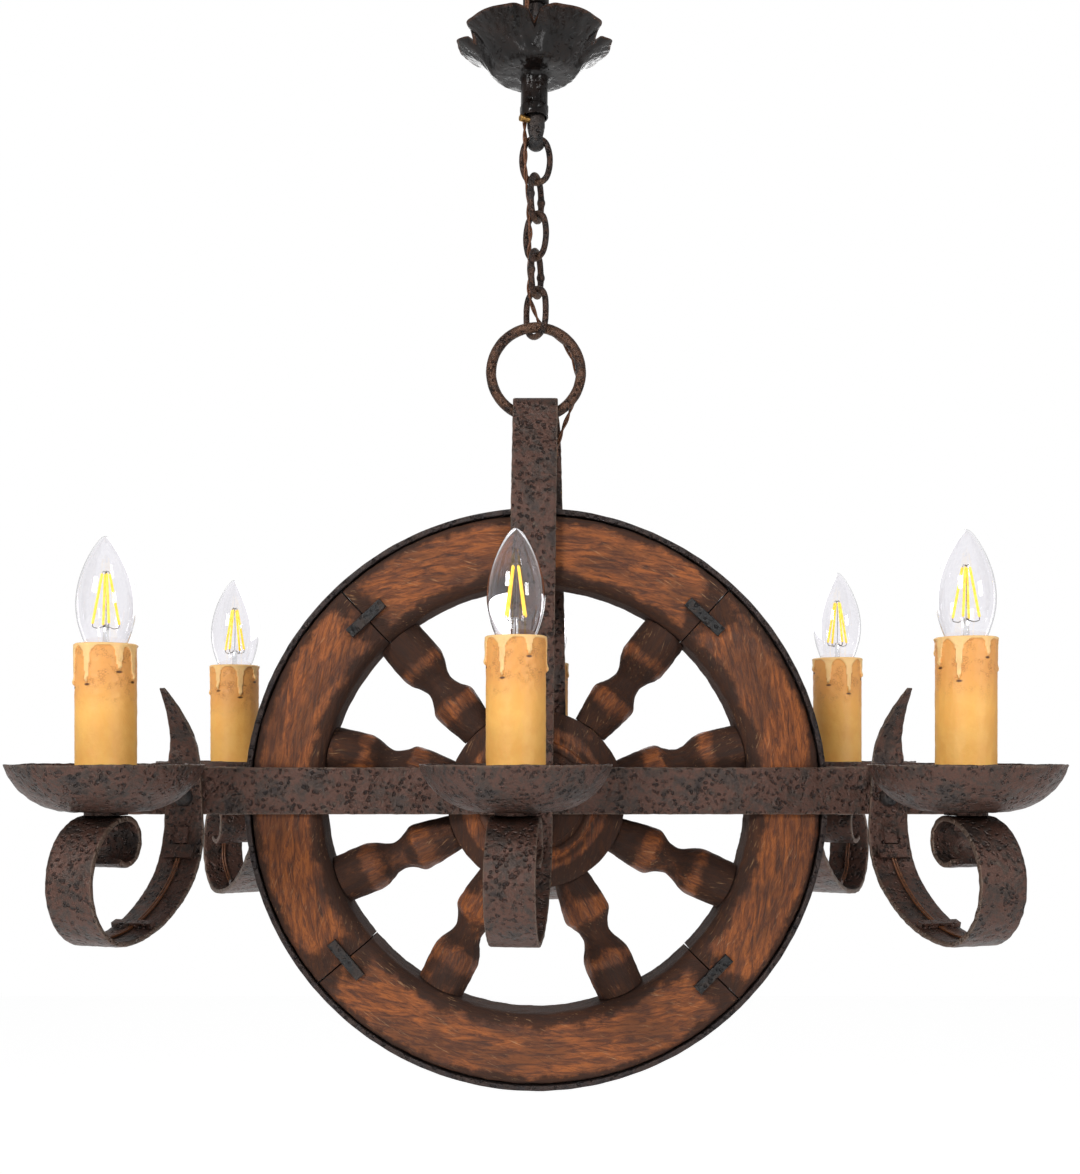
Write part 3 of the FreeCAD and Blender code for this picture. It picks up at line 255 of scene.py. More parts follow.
def on_wheel(points: np.ndarray, angle: float) -> np.ndarray:
    """Turn points made at three o'clock to their angle on the wheel and move them to it.

    Args:
        points: (..., 3), made about the origin.
        angle: in degrees from +X towards +Z.

    Returns:
        The points in their place.
    """
    c, s = np.cos(np.radians(angle)), np.sin(np.radians(angle))
    x = points[..., 0] * c - points[..., 2] * s
    z = points[..., 0] * s + points[..., 2] * c
    return np.stack([x, points[..., 1], z + WHEEL_HEIGHT], -1)


def hammered(grid: np.ndarray, depth: float, size: float, seed: int, loop: bool = False) -> np.ndarray:
    """Sink a grid's points along its normals by a smooth pattern, never outwards.

    Args:
        grid: (n, k, 3) surface whose columns go round.
        depth: deepest dent in millimetres.
        size: typical width of a dent.
        seed: of the pattern.
        loop: whether the rows close too.

    Returns:
        The dented grid.
    """
    round_way = np.roll(grid, -1, 1) - np.roll(grid, 1, 1)
    along = np.roll(grid, -1, 0) - np.roll(grid, 1, 0) if loop else np.gradient(grid, axis=0)
    normal = np.cross(along, round_way)
    normal /= np.maximum(np.linalg.norm(normal, axis=-1, keepdims=True), 1e-9)
    dents = (0.5 + 0.5 * ripple(grid, size, seed)).clip(0, 1) * depth
    return grid - normal * dents[..., None] * outward_sign(grid)


def outward_sign(grid: np.ndarray) -> float:
    """Whether rows crossed with columns point outwards: the sign of the volume they enclose.

    Args:
        grid: (n, k, 3) surface whose columns go round.

    Returns:
        1 where they point outwards, otherwise -1.
    """
    a, b = grid[:-1], grid[1:]
    c, d = np.roll(b, -1, 1), np.roll(a, -1, 1)
    volume = (a * np.cross(b, c)).sum() + (a * np.cross(c, d)).sum()
    return 1.0 if volume > 0 else -1.0


@dataclass
class Piece:
    """One object made of closed grids, which stands for CAD nodes and rides on a body unless it crosses a
    joint.
    """

    name: str
    finish: Material
    slot: str
    nodes: tuple[str, ...]
    body: str = "wheel_frame"
    points: list = field(default_factory=list)
    faces: list = field(default_factory=list)
    grains: list = field(default_factory=list)
    marks: list = field(default_factory=list)
    finishes: list = field(default_factory=list)
    count: int = 0

    def add(self, grid: np.ndarray, loop: bool = False, grain: np.ndarray | None = None,
            mark: np.ndarray | None = None, finish: Material | None = None) -> "Piece":
        """Add one closed shell.

        Args:
            grid: (n, k, 3) in millimetres; the columns close, the rows close or get flat ends.
            loop: whether the rows close.
            grain: pattern place of each point, the grid itself where left out.
            mark: a number for each point: wear, charring or drips from 0 to 1, the charring eased on the
                spokes' raised rings for a painted highlight, and below nought a painted shadow under a drop
                of wax.
            finish: another material than the piece's own.

        Returns:
            The piece, for the next shell.
        """
        rows, columns = grid.shape[:2]
        order = np.arange(rows * columns).reshape(rows, columns) + self.count
        below = order if loop else order[:-1]
        above = np.roll(order, -1, 0) if loop else order[1:]
        quads = np.stack([below, np.roll(below, -1, 1), np.roll(above, -1, 1), above], -1)
        faces = quads.reshape(-1, 4).tolist()
        if not loop:
            faces += [order[0][::-1].tolist(), order[-1].tolist()]
        around = np.concatenate([grid, grid[:1]]) if loop else grid
        if outward_sign(around - around.mean((0, 1))) > 0:
            faces = [face[::-1] for face in faces]
        self.points.append(grid.reshape(-1, 3))
        self.faces += faces
        self.grains.append((grid if grain is None else grain).reshape(-1, 3))
        mark = np.zeros(grid.shape[:2]) if mark is None else mark
        self.marks.append(np.broadcast_to(mark, grid.shape[:2]).reshape(-1))
        own = finish or self.finish
        if own not in self.finishes_used():
            self.finishes.append((own, 0))
        self.finishes.append((own, len(faces)))
        self.count += rows * columns
        return self

    def finishes_used(self) -> list:
        """The materials so far, each once, in order of use."""
        return list(dict.fromkeys(material for material, _ in self.finishes))

    def make(self, blend: tuple | None = None) -> bpy.types.Object:
        """Make the object, put it on its body unless it crosses a joint, and hide the CAD nodes it stands
        for.

        Args:
            blend: body a, body b, start and end in metres, for a piece across a joint; only whether it is
                given is used, and such a piece is put on no body.

        Returns:
            The new object.
        """
        mesh = bpy.data.meshes.new(self.name)
        points = np.concatenate(self.points) / 1000
        mesh.from_pydata(points.tolist(), [], self.faces)
        grain = mesh.attributes.new("grain", "FLOAT_VECTOR", "POINT")
        grain.data.foreach_set("vector", (np.concatenate(self.grains) / 1000).astype(np.float32).ravel())
        mark = mesh.attributes.new("mark", "FLOAT", "POINT")
        mark.data.foreach_set("value", np.concatenate(self.marks).astype(np.float32))
        used = self.finishes_used()
        for material in used:
            mesh.materials.append(material)
        which = [np.full(n, used.index(material)) for material, n in self.finishes]
        mesh.polygons.foreach_set("material_index", np.concatenate(which).astype(np.int32))
        mesh.polygons.foreach_set("use_smooth", np.ones(len(self.faces), bool))
        mesh.validate()
        mesh.set_sharp_from_angle(angle=SHARP_ANGLE)
        made = bpy.data.objects.new(self.name, mesh)
        bpy.context.scene.collection.objects.link(made)
        if blend:
            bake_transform(made)
        else:
            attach(made, self.body)
        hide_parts(*self.nodes)
        log.info("%s: %d points on %s", self.name, len(points), self.body)
        return made


# ---- Node trees ---------------------------------------------------------------------------
def ink(code: str) -> tuple[float, float, float, float]:
    """A colour written as six hex digits, as linear numbers.

    Args:
        code: red, green and blue, two digits each.

    Returns:
        Red, green, blue and alpha.
    """
    parts = np.array([int(code[i:i + 2], 16) for i in (0, 2, 4)]) / 255
    linear = np.where(parts <= 0.04045, parts / 12.92, ((parts + 0.055) / 1.055) ** 2.4)
    return (*[float(v) for v in linear], 1.0)


@dataclass
class Board:
    """A node tree with short calls that add a node and give back its output."""

    tree: bpy.types.NodeTree

    def feed(self, socket: Socket, value: Value | Colour) -> None:
        """Link another node's output to a socket, or set the socket's own value.

        Args:
            socket: an input of a node.
            value: an output, a number or a colour.
        """
        if isinstance(value, Socket):
            self.tree.links.new(value, socket)
        else:
            socket.default_value = value

    def node(self, kind: str, inputs: dict, **settings: str) -> bpy.types.Node:
        """Add a node.

        Args:
            kind: the node's type.
            inputs: numbers, colours or other nodes' outputs by socket name.
            settings: the node's own choices by name.

        Returns:
            The new node.
        """
        made = self.tree.nodes.new(kind)
        for name, value in settings.items():
            setattr(made, name, value)
        for name, value in inputs.items():
            self.feed(made.inputs[name], value)
        return made

    def noise(self, place: Socket, scale: float, detail: float = 3.0,
              rough: float = 0.55, bend: float = 0.0) -> Socket:
        """Noise with features of one over scale metres."""
        values = {"Vector": place, "Scale": scale, "Detail": detail, "Roughness": rough, "Distortion": bend}
        return self.node("ShaderNodeTexNoise", values).outputs["Fac"]

    def cells(self, place: Socket, scale: float, feature: str = "F1") -> Socket:
        """Distance to the nearest of scattered points, or to the border between them."""
        made = self.node("ShaderNodeTexVoronoi", {"Vector": place, "Scale": scale}, feature=feature)
        return made.outputs["Distance"]

    def stretch(self, place: Socket, scale: tuple) -> Socket:
        """The place with its axes scaled one by one."""
        made = self.node("ShaderNodeMapping", {"Vector": place, "Scale": scale})
        return made.outputs["Vector"]

    def scaled(self, place: Socket, factor: Value) -> Socket:
        """The place with all its axes scaled alike."""
        made = self.node("ShaderNodeVectorMath", {"Vector": place, "Scale": factor}, operation="SCALE")
        return made.outputs[0]

    def sharpen(self, value: Socket, low: float, high: float) -> Socket:
        """Nought below low, one above high, smooth between.

        Args:
            value: what is sharpened.
            low: where the slope starts.
            high: where it ends; below low, the slope runs down.

        Returns:
            The result, from 0 to 1.
        """
        inputs = {"Value": value, "From Min": low, "From Max": high}
        made = self.node("ShaderNodeMapRange", inputs, interpolation_type="SMOOTHSTEP")
        return made.outputs["Result"]

    def calc(self, operation: str, first: Value, second: Value) -> Socket:
        """One arithmetic step.

        Args:
            operation: its name, such as ADD or MULTIPLY.
            first: an output or a number.
            second: an output or a number.

        Returns:
            The result.
        """
        made = self.tree.nodes.new("ShaderNodeMath")
        made.operation = operation
        self.feed(made.inputs[0], first)
        self.feed(made.inputs[1], second)
        return made.outputs[0]

    def shades(self, value: Socket, stops: tuple) -> Socket:
        """Colours along a value, each stop a place and a hex colour.

        Args:
            value: where on the ramp each point lies.
            stops: pairs of a place and a hex colour, in order.

        Returns:
            The colour.
        """
        made = self.tree.nodes.new("ShaderNodeValToRGB")
        ramp = made.color_ramp
        while len(ramp.elements) < len(stops):
            ramp.elements.new(0.5)
        for element, (place, code) in zip(ramp.elements, stops):
            element.position = place
            element.color = ink(code)
        self.tree.links.new(value, made.inputs["Fac"])
        return made.outputs["Color"]

    def mix(self, share: Value, first: Colour, second: Colour) -> Socket:
        """Mix two colours by a share.

        Args:
            share: of the second colour.
            first: an output or a colour.
            second: an output or a colour.

        Returns:
            The mixed colour.
        """
        made = self.tree.nodes.new("ShaderNodeMix")
        made.data_type = "RGBA"
        factor, start, end = (made.inputs[i] for i in (0, 6, 7))
        self.feed(factor, share)
        self.feed(start, first)
        self.feed(end, second)
        return made.outputs[2]

    def bump(self, height: Socket, depth: float, strength: float) -> Socket:
        """A normal from a height; depth is in metres."""
        made = self.node("ShaderNodeBump", {"Height": height, "Distance": depth, "Strength": strength})
        return made.outputs["Normal"]


def new_group(name: str, inputs: dict, outputs: dict) -> tuple[bpy.types.NodeTree, dict, dict]:
    """A shader node group with named sockets.

    Args:
        name: of the group.
        inputs: socket name to its socket type.
        outputs: socket name to its socket type.

    Returns:
        The tree, its inputs' sockets and its outputs' sockets by name.
    """
    tree = bpy.data.node_groups.new(name, "ShaderNodeTree")
    for label, kind in inputs.items():
        tree.interface.new_socket(name=label, in_out="INPUT", socket_type=kind)
    for label, kind in outputs.items():
        tree.interface.new_socket(name=label, in_out="OUTPUT", socket_type=kind)
    start, end = tree.nodes.new("NodeGroupInput"), tree.nodes.new("NodeGroupOutput")
    return tree, {s.name: s for s in start.outputs}, {s.name: s for s in end.inputs}


def forge_skin() -> bpy.types.NodeTree:
    """Beaten and pitted iron: patches of colour, scale pits and the height of both.

    Returns:
        The group, with Vector and Size in, and Patches, Pits and Height out.
    """
    number, place = "NodeSocketFloat", "NodeSocketVector"
    tree, given, wanted = new_group(
        "forge_skin", {"Vector": place, "Size": number},
        {"Patches": number, "Pits": number, "Height": number})
    board = Board(tree)
    spot = board.scaled(given["Vector"], given["Size"])
    large = board.noise(spot, scale=60, detail=8, rough=0.7, bend=0.5)
    fine = board.noise(spot, scale=330, detail=5, rough=0.7)
    dents = board.noise(spot, scale=95, detail=2, rough=0.4)
    jitter = board.node("ShaderNodeTexNoise", {"Vector": spot, "Scale": 150.0})
    bent = board.node("ShaderNodeVectorMath", {"Vector": spot}, operation="ADD")
    board.feed(bent.inputs[1], board.scaled(jitter.outputs["Color"], 0.006))
    holes = board.sharpen(board.cells(bent.outputs[0], 300), 0.5, 0.16)
    kept = board.sharpen(board.noise(spot, scale=110, detail=3), 0.36, 0.58)
    pits = board.calc("MULTIPLY", holes, kept)
    mottled = board.calc("ADD", board.calc("MULTIPLY", fine, 0.45), large)
    rise = board.calc("ADD", board.calc("MULTIPLY", dents, 0.8), board.calc("MULTIPLY", fine, 0.35))
    tree.links.new(board.calc("SUBTRACT", mottled, 0.22), wanted["Patches"])
    tree.links.new(pits, wanted["Pits"])
    tree.links.new(board.calc("SUBTRACT", rise, board.calc("MULTIPLY", pits, 0.55)), wanted["Height"])
    return tree


def ragged_edge() -> bpy.types.NodeTree:
    """Breaks a smooth mask up: the mask plus noise, sharpened, for wear and charring.

    Returns:
        The group, with Vector, Mask, Size and Amount in, and Mask out.
    """
    number, place = "NodeSocketFloat", "NodeSocketVector"
    tree, given, wanted = new_group(
        "ragged_edge", {"Vector": place, "Mask": number, "Size": number, "Amount": number},
        {"Mask": number})
    board = Board(tree)
    noise = board.noise(board.scaled(given["Vector"], given["Size"]), scale=1.0, detail=6, rough=0.65)
    shifted = board.calc("MULTIPLY", board.calc("SUBTRACT", noise, 0.5), given["Amount"])
    tree.links.new(board.sharpen(board.calc("ADD", given["Mask"], shifted), 0.3, 0.7), wanted["Mask"])
    return tree


def wood_grain() -> bpy.types.NodeTree:
    """Long streaks along the first axis, short pale flecks, slow patches, and their height.

    Returns:
        The group, with Vector in, and Streaks, Flecks, Cuts, Patches and Height out.
    """
    number, place = "NodeSocketFloat", "NodeSocketVector"
    tree, given, wanted = new_group(
        "wood_grain", {"Vector": place},
        {"Streaks": number, "Flecks": number, "Cuts": number, "Patches": number, "Height": number})
    board = Board(tree)
    spot = given["Vector"]
    streaks = board.noise(board.stretch(spot, (45, 330, 330)), scale=1.0, detail=10, rough=0.74, bend=0.8)
    slanted = board.node("ShaderNodeMapping", {"Vector": spot, "Rotation": (0.0, 0.35, 0.0)})
    thin = board.stretch(slanted.outputs["Vector"], (70, 760, 860))
    hairs = board.noise(thin, scale=1.0, detail=5, rough=0.66)
    patches = board.noise(board.stretch(spot, (20, 42, 42)), scale=1.0, detail=3, rough=0.55, bend=0.4)
    bare = board.noise(spot, scale=42, detail=2)
    flecks = board.calc("MULTIPLY", board.sharpen(hairs, 0.58, 0.7), board.sharpen(bare, 0.44, 0.6))
    height = board.calc("ADD", board.calc("MULTIPLY", streaks, 0.7), board.calc("MULTIPLY", hairs, 0.4))
    cuts = board.sharpen(hairs, 0.44, 0.33)
    found = {"Streaks": streaks, "Flecks": flecks, "Cuts": cuts, "Patches": patches, "Height": height}
    for name, value in found.items():
        tree.links.new(value, wanted[name])
    return tree


@dataclass(frozen=True)
class Finish:
    """A finish's name; each kind builds its own material."""

    name: str

    def start(self) -> tuple[Board, bpy.types.Node]:
        """A new material's board and its main shader.

        Returns:
            The board of the material's tree, and the shader.
        """
        material = bpy.data.materials.new(self.name)
        material.use_nodes = True
        return Board(material.node_tree), material.node_tree.nodes["Principled BSDF"]

    def placed(self, board: Board, attribute: bool) -> Socket:
        """The piece's own pattern place where it has one, or its place in the object.

        Args:
            board: of the material.
            attribute: whether the piece has a pattern place of its own.

        Returns:
            The place that patterns are read at.
        """
        if attribute:
            made = board.tree.nodes.new("ShaderNodeAttribute")
            made.attribute_name = "grain"
            return made.outputs["Vector"]
        return board.tree.nodes.new("ShaderNodeTexCoord").outputs["Object"]

    def marked(self, board: Board) -> Socket:
        """The mark that the piece carries, nought where it has none.

        Args:
            board: of the material.

        Returns:
            The mark.
        """
        made = board.tree.nodes.new("ShaderNodeAttribute")
        made.attribute_name = "mark"
        return made.outputs["Fac"]


def shared(board: Board, group: bpy.types.NodeTree, inputs: dict) -> bpy.types.Node:
    """Place a shared group in a material.

    Args:
        board: of the material.
        group: the shared group.
        inputs: numbers or other nodes' outputs by socket name.

    Returns:
        The group's node.
    """
    made = board.tree.nodes.new("ShaderNodeGroup")
    made.node_tree = group
    for name, value in inputs.items():
        board.feed(made.inputs[name], value)
    return made


@dataclass(frozen=True)
class Iron(Finish):
    """Forged iron: dark scale, red-brown patina, pits, and paler rubbed edges."""

    pit: str = "151214"
    deep: str = "272020"
    body: str = "3f332d"
    rust: str = "55392f"
    rubbed: str = "7c6a5b"
    metal: float = 0.5
    rough: float = 0.43
    size: float = 1.0
    wear: float = 0.4

    def build(self, groups: dict) -> Material:
        """The material.

        Args:
            groups: the shared node groups by name.

        Returns:
            The material.
        """
        board, shader = self.start()
        place = self.placed(board, False)
        skin = shared(board, groups["forge"], {"Vector": place, "Size": self.size})
        tone = board.shades(skin.outputs["Patches"], (
            (0.3, self.deep), (0.44, self.body), (0.56, self.rust), (0.66, self.body), (0.8, self.rubbed)))
        tone = board.mix(board.calc("MULTIPLY", skin.outputs["Pits"], 0.7), tone, ink(self.pit))
        edge = shared(board, groups["ragged"], {
            "Vector": place, "Mask": self.marked(board), "Size": 160.0, "Amount": 1.1})
        worn = board.calc("MULTIPLY", edge.outputs["Mask"], self.wear)
        board.tree.links.new(board.mix(worn, tone, ink(self.rubbed)), shader.inputs["Base Color"])
        shader.inputs["Metallic"].default_value = self.metal
        uneven = board.calc("MULTIPLY", skin.outputs["Patches"], 0.35)
        board.tree.links.new(board.calc("ADD", uneven, self.rough - 0.18), shader.inputs["Roughness"])
        normal = board.bump(skin.outputs["Height"], depth=0.0024, strength=1.0)
        board.tree.links.new(normal, shader.inputs["Normal"])
        return bpy.data.materials[self.name]


@dataclass(frozen=True)
class Wood(Finish):
    """Burnished brown wood, charred where its mark says so, with pale scratches; the mark eases on the
    spokes' raised rings for a painted highlight.
    """

    char: str = "231915"
    dark: str = "3a2318"
    body: str = "6b3a1f"
    warm: str = "a25c2b"
    pale: str = "bd9268"
    charring: float = 0.9

    def build(self, groups: dict) -> Material:
        """The material.

        Args:
            groups: the shared node groups by name.

        Returns:
            The material.
        """
        board, shader = self.start()
        place = self.placed(board, True)
        grain = shared(board, groups["grain"], {"Vector": place})
        tone = board.shades(grain.outputs["Streaks"], (
            (0.34, self.dark), (0.46, self.body), (0.6, self.warm), (0.72, self.body)))
        slow = board.sharpen(grain.outputs["Patches"], 0.56, 0.4)
        tone = board.mix(board.calc("MULTIPLY", slow, 0.55), tone, ink(self.dark))
        tone = board.mix(board.calc("MULTIPLY", grain.outputs["Cuts"], 0.6), tone, ink(self.dark))
        edge = shared(board, groups["ragged"], {
            "Vector": place, "Mask": self.marked(board), "Size": 60.0, "Amount": 1.5})
        burnt = board.mix(grain.outputs["Streaks"], ink(self.char), ink(self.dark))
        tone = board.mix(board.calc("MULTIPLY", edge.outputs["Mask"], self.charring), tone, burnt)
        scratched = board.calc("MULTIPLY", grain.outputs["Flecks"], 0.5)
        board.tree.links.new(board.mix(scratched, tone, ink(self.pale)), shader.inputs["Base Color"])
        dull = board.calc("ADD", board.calc("MULTIPLY", edge.outputs["Mask"], 0.35), 0.28)
        rough = board.calc("ADD", board.calc("MULTIPLY", grain.outputs["Streaks"], 0.3), dull)
        board.tree.links.new(rough, shader.inputs["Roughness"])
        normal = board.bump(grain.outputs["Height"], depth=0.0016, strength=0.9)
        board.tree.links.new(normal, shader.inputs["Normal"])
        shader.inputs["Specular IOR Level"].default_value = 0.3
        return bpy.data.materials[self.name]


@dataclass(frozen=True)
class Gloss(Finish):
    """Thick glossy paint over beaten sheet, rubbed brown at raised places."""

    paint: str = "0c0807"
    thin: str = "22150f"
    rubbed: str = "5d3a27"

    def build(self, groups: dict) -> Material:
        """The material.

        Args:
            groups: the shared node groups by name.

        Returns:
            The material.
        """
        board, shader = self.start()
        place = self.placed(board, False)
        skin = shared(board, groups["forge"], {"Vector": place, "Size": 0.8})
        tone = board.shades(skin.outputs["Patches"], ((0.42, self.paint), (0.72, self.thin)))
        edge = shared(board, groups["ragged"], {
            "Vector": place, "Mask": self.marked(board), "Size": 210.0, "Amount": 1.0})
        worn = board.calc("MULTIPLY", edge.outputs["Mask"], 0.6)
        board.tree.links.new(board.mix(worn, tone, ink(self.rubbed)), shader.inputs["Base Color"])
        shader.inputs["Specular IOR Level"].default_value = 0.25
        rough = board.calc("ADD", board.calc("MULTIPLY", skin.outputs["Patches"], 0.25), 0.08)
        board.tree.links.new(rough, shader.inputs["Roughness"])
        normal = board.bump(skin.outputs["Height"], depth=0.0009, strength=0.6)
        board.tree.links.new(normal, shader.inputs["Normal"])
        return bpy.data.materials[self.name]


@dataclass(frozen=True)
class Wax(Finish):
    """Honey-coloured wax: crackled near the top, with paler runs and a shadow under each drop."""

    low: str = "f6bb62"
    high: str = "e6a257"
    run: str = "f3c684"
    crack: str = "a8692f"
    mottle: str = "f0b058"
    shade: str = "5c3716"

    def build(self, groups: dict) -> Material:
        """The material.

        Args:
            groups: the shared node groups by name.

        Returns:
            The material.
        """
        board, shader = self.start()
        place = self.placed(board, True)
        split = board.node("ShaderNodeSeparateXYZ", {"Vector": place})
        cloud = board.noise(place, scale=55, detail=4, rough=0.6)
        depth = board.calc("ADD", split.outputs["Z"], board.calc("MULTIPLY", cloud, 0.02))
        top = board.sharpen(depth, 0.055, 0.028)
        mottled = board.mix(board.sharpen(cloud, 0.38, 0.62), ink(self.low), ink(self.mottle))
        tone = board.mix(top, mottled, ink(self.high))
        border = board.cells(board.stretch(place, (1, 1, 1.8)), 560, "DISTANCE_TO_EDGE")
        crackle = board.sharpen(border, 0.13, 0.02)
        patchy = board.sharpen(board.noise(place, scale=150, detail=3), 0.48, 0.6)
        cracked = board.calc("MULTIPLY", board.calc("MULTIPLY", crackle, patchy), top)
        tone = board.mix(board.calc("MULTIPLY", cracked, 0.6), tone, ink(self.crack))
        mark = self.marked(board)
        tone = board.mix(board.sharpen(mark, 0.3, 0.75), tone, ink(self.run))
        tone = board.mix(board.sharpen(mark, -0.15, -0.7), tone, ink(self.shade))
        board.tree.links.new(tone, shader.inputs["Base Color"])
        shader.inputs["Roughness"].default_value = 0.48
        shader.inputs["Subsurface Weight"].default_value = 0.12
        shader.inputs["Subsurface Radius"].default_value = (0.6, 0.3, 0.12)
        shader.inputs["Subsurface Scale"].default_value = 0.004
        sunk = board.calc("MULTIPLY", cracked, 0.8)
        height = board.calc("SUBTRACT", board.noise(place, scale=420, detail=3), sunk)
        board.tree.links.new(board.bump(height, depth=0.0004, strength=0.5), shader.inputs["Normal"])
        return bpy.data.materials[self.name]


@dataclass(frozen=True)
class Plain(Finish):
    """A small part's finish: one colour broken up by fine noise, which may also give off painted light."""

    tone: str = "808080"
    other: str = "606060"
    metal: float = 0.0
    rough: float = 0.5
    fine: float = 400.0
    painted_glow: float = 0.0
    clear: float = 0.0

    def build(self, groups: dict) -> Material:
        """The material.

        Args:
            groups: the shared node groups by name.

        Returns:
            The material.
        """
        board, shader = self.start()
        place = self.placed(board, False)
        speckle = board.noise(place, scale=self.fine, detail=4, rough=0.6)
        tone = board.shades(speckle, ((0.38, self.tone), (0.66, self.other)))
        shader.inputs["Metallic"].default_value = self.metal
        shader.inputs["Transmission Weight"].default_value = self.clear
        board.tree.links.new(tone, shader.inputs["Base Color"])
        if self.clear:
            shader.inputs["Roughness"].default_value = self.rough
            shader.inputs["IOR"].default_value = 1.45
        else:
            board.tree.links.new(board.calc("ADD", board.calc("MULTIPLY", speckle, 0.2), self.rough - 0.1),
                                 shader.inputs["Roughness"])
            board.tree.links.new(board.bump(speckle, depth=0.0003, strength=0.4), shader.inputs["Normal"])
        # Painted light: the part gives off its own colour though it is no lamp.
        if self.painted_glow:
            board.tree.links.new(tone, shader.inputs["Emission Color"])
            shader.inputs["Emission Strength"].default_value = self.painted_glow
        return bpy.data.materials[self.name]


# ---- Ceiling hang -------------------------------------------------------------------------
@dataclass
class Canopy:
    """The five-lobed cup on its short neck."""

    axis: float = -1.2
    floor: float = -58.4
    bore: float = 8.4
    neck: float = 9.6
    ring: float = 10.2
    neck_height: float = 29.0
    floor_radius: float = 29.0
    rim_radius: float = 54.5
    height: float = 24.0
    wall: float = 1.8
    lobes: int = 5
    pinch: float = 6.5
    notch_depth: float = 6.5
    notch_half: float = 5.0
    first_notch: float = 270.0
    foot_draw: float = 3.6
    crease_depth: float = 4.2
    crease_half: float = 7.5
    roll: float = 1.9
    roll_place: float = 14.0
    roll_half: float = 5.5
    rim_sag: float = 1.6
    edge_width: float = 1.6

    def wall_line(self, inset: float) -> np.ndarray:
        """Radius and height up the flaring wall, from its floor to its rim.

        Args:
            inset: how far inside the outer face the line lies.

        Returns:
            Points (radius, height), (n, 2).
        """
        climb = np.linspace(0, 1, 30)
        flare = self.rim_radius - self.floor_radius
        radius = self.floor_radius + flare * (0.5 * climb + 0.5 * climb ** 2.6)
        radius -= self.foot_draw * np.exp(-climb / 0.07) + inset
        low = self.wall if inset else 0.0
        return np.stack([radius, low + climb * (self.height - low)], 1)

    def outline(self) -> np.ndarray:
        """The whole closed outline: bore, neck, floor, wall, rim and back inside.

        Returns:
            Points (radius, height), (n, 2).
        """
        low = -self.neck_height
        neck = np.array([
            [self.bore, low + 0.4], [self.bore + 0.5, low], [self.ring - 0.5, low], [self.ring, low + 0.6],
            [self.ring, low + 7.4], [self.ring - 0.4, low + 8], [self.neck, low + 8.2], [self.neck, -3.5],
            [self.neck + 0.6, -1.6], [self.neck + 2.2, -0.4], [14, -0.15], [17, -0.1]])
        outer = self.wall_line(0)
        inner = self.wall_line(self.wall)[::-1]
        rim = np.array([[self.rim_radius - self.wall / 2, self.height + 0.5]])
        back = np.array([[15, self.wall], [12, self.wall], [self.bore, self.wall], [self.bore, -10]])
        return np.concatenate([neck, outer, rim, inner, back])

    def build(self, finish: Material) -> None:
        """Lobes swell with the climb; a crease runs down under each notch of the rim.

        Args:
            finish: the piece's material.
        """
        line = self.outline()
        grid = turned(line, 300)
        turn = np.arctan2(grid[..., 1], grid[..., 0])
        climb = (line[:, 1] / self.height).clip(0, 1)[:, None]
        wide = (line[:, 0] > 18)[:, None]
        span = 360 / self.lobes
        share = ((np.degrees(turn) - self.first_notch) % span) / span
        bulge = np.sin(np.pi * share) ** 0.8
        near = np.minimum(share, 1 - share) * span
        crease = self.crease_depth * np.exp(-(near / self.crease_half) ** 2)
        roll = self.roll * np.exp(-((near - self.roll_place) / self.roll_half) ** 2)
        radius = np.hypot(grid[..., 0], grid[..., 1])
        drawn = wide * (self.pinch * (1 - bulge) * climb ** 2 + crease * climb ** 0.7)
        drawn -= wide * roll * climb ** 2
        fresh = np.minimum(radius - drawn, self.rim_radius)
        grid[..., 0] *= fresh / radius
        grid[..., 1] *= fresh / radius
        notch = self.notch_depth * np.clip(1 - near / self.notch_half, 0, 1)
        grid[..., 2] -= notch * climb ** 2.5 * wide
        grid[..., 2] -= wide * self.rim_sag * (1 - bulge) * climb ** 2
        grid += np.array([self.axis, 0, self.floor])
        grid[..., 2] = np.minimum(grid[..., 2], self.floor + self.height)
        edge = np.exp(-((1 - climb) * self.height / self.edge_width) ** 2) * wide * np.ones_like(radius)
        piece = Piece("lobed_canopy", finish, "black_canopy", ("canopy",), "ceiling")
        piece.add(hammered(grid, depth=0.55, size=10, seed=3, loop=True), loop=True, mark=edge * 0.6).make()


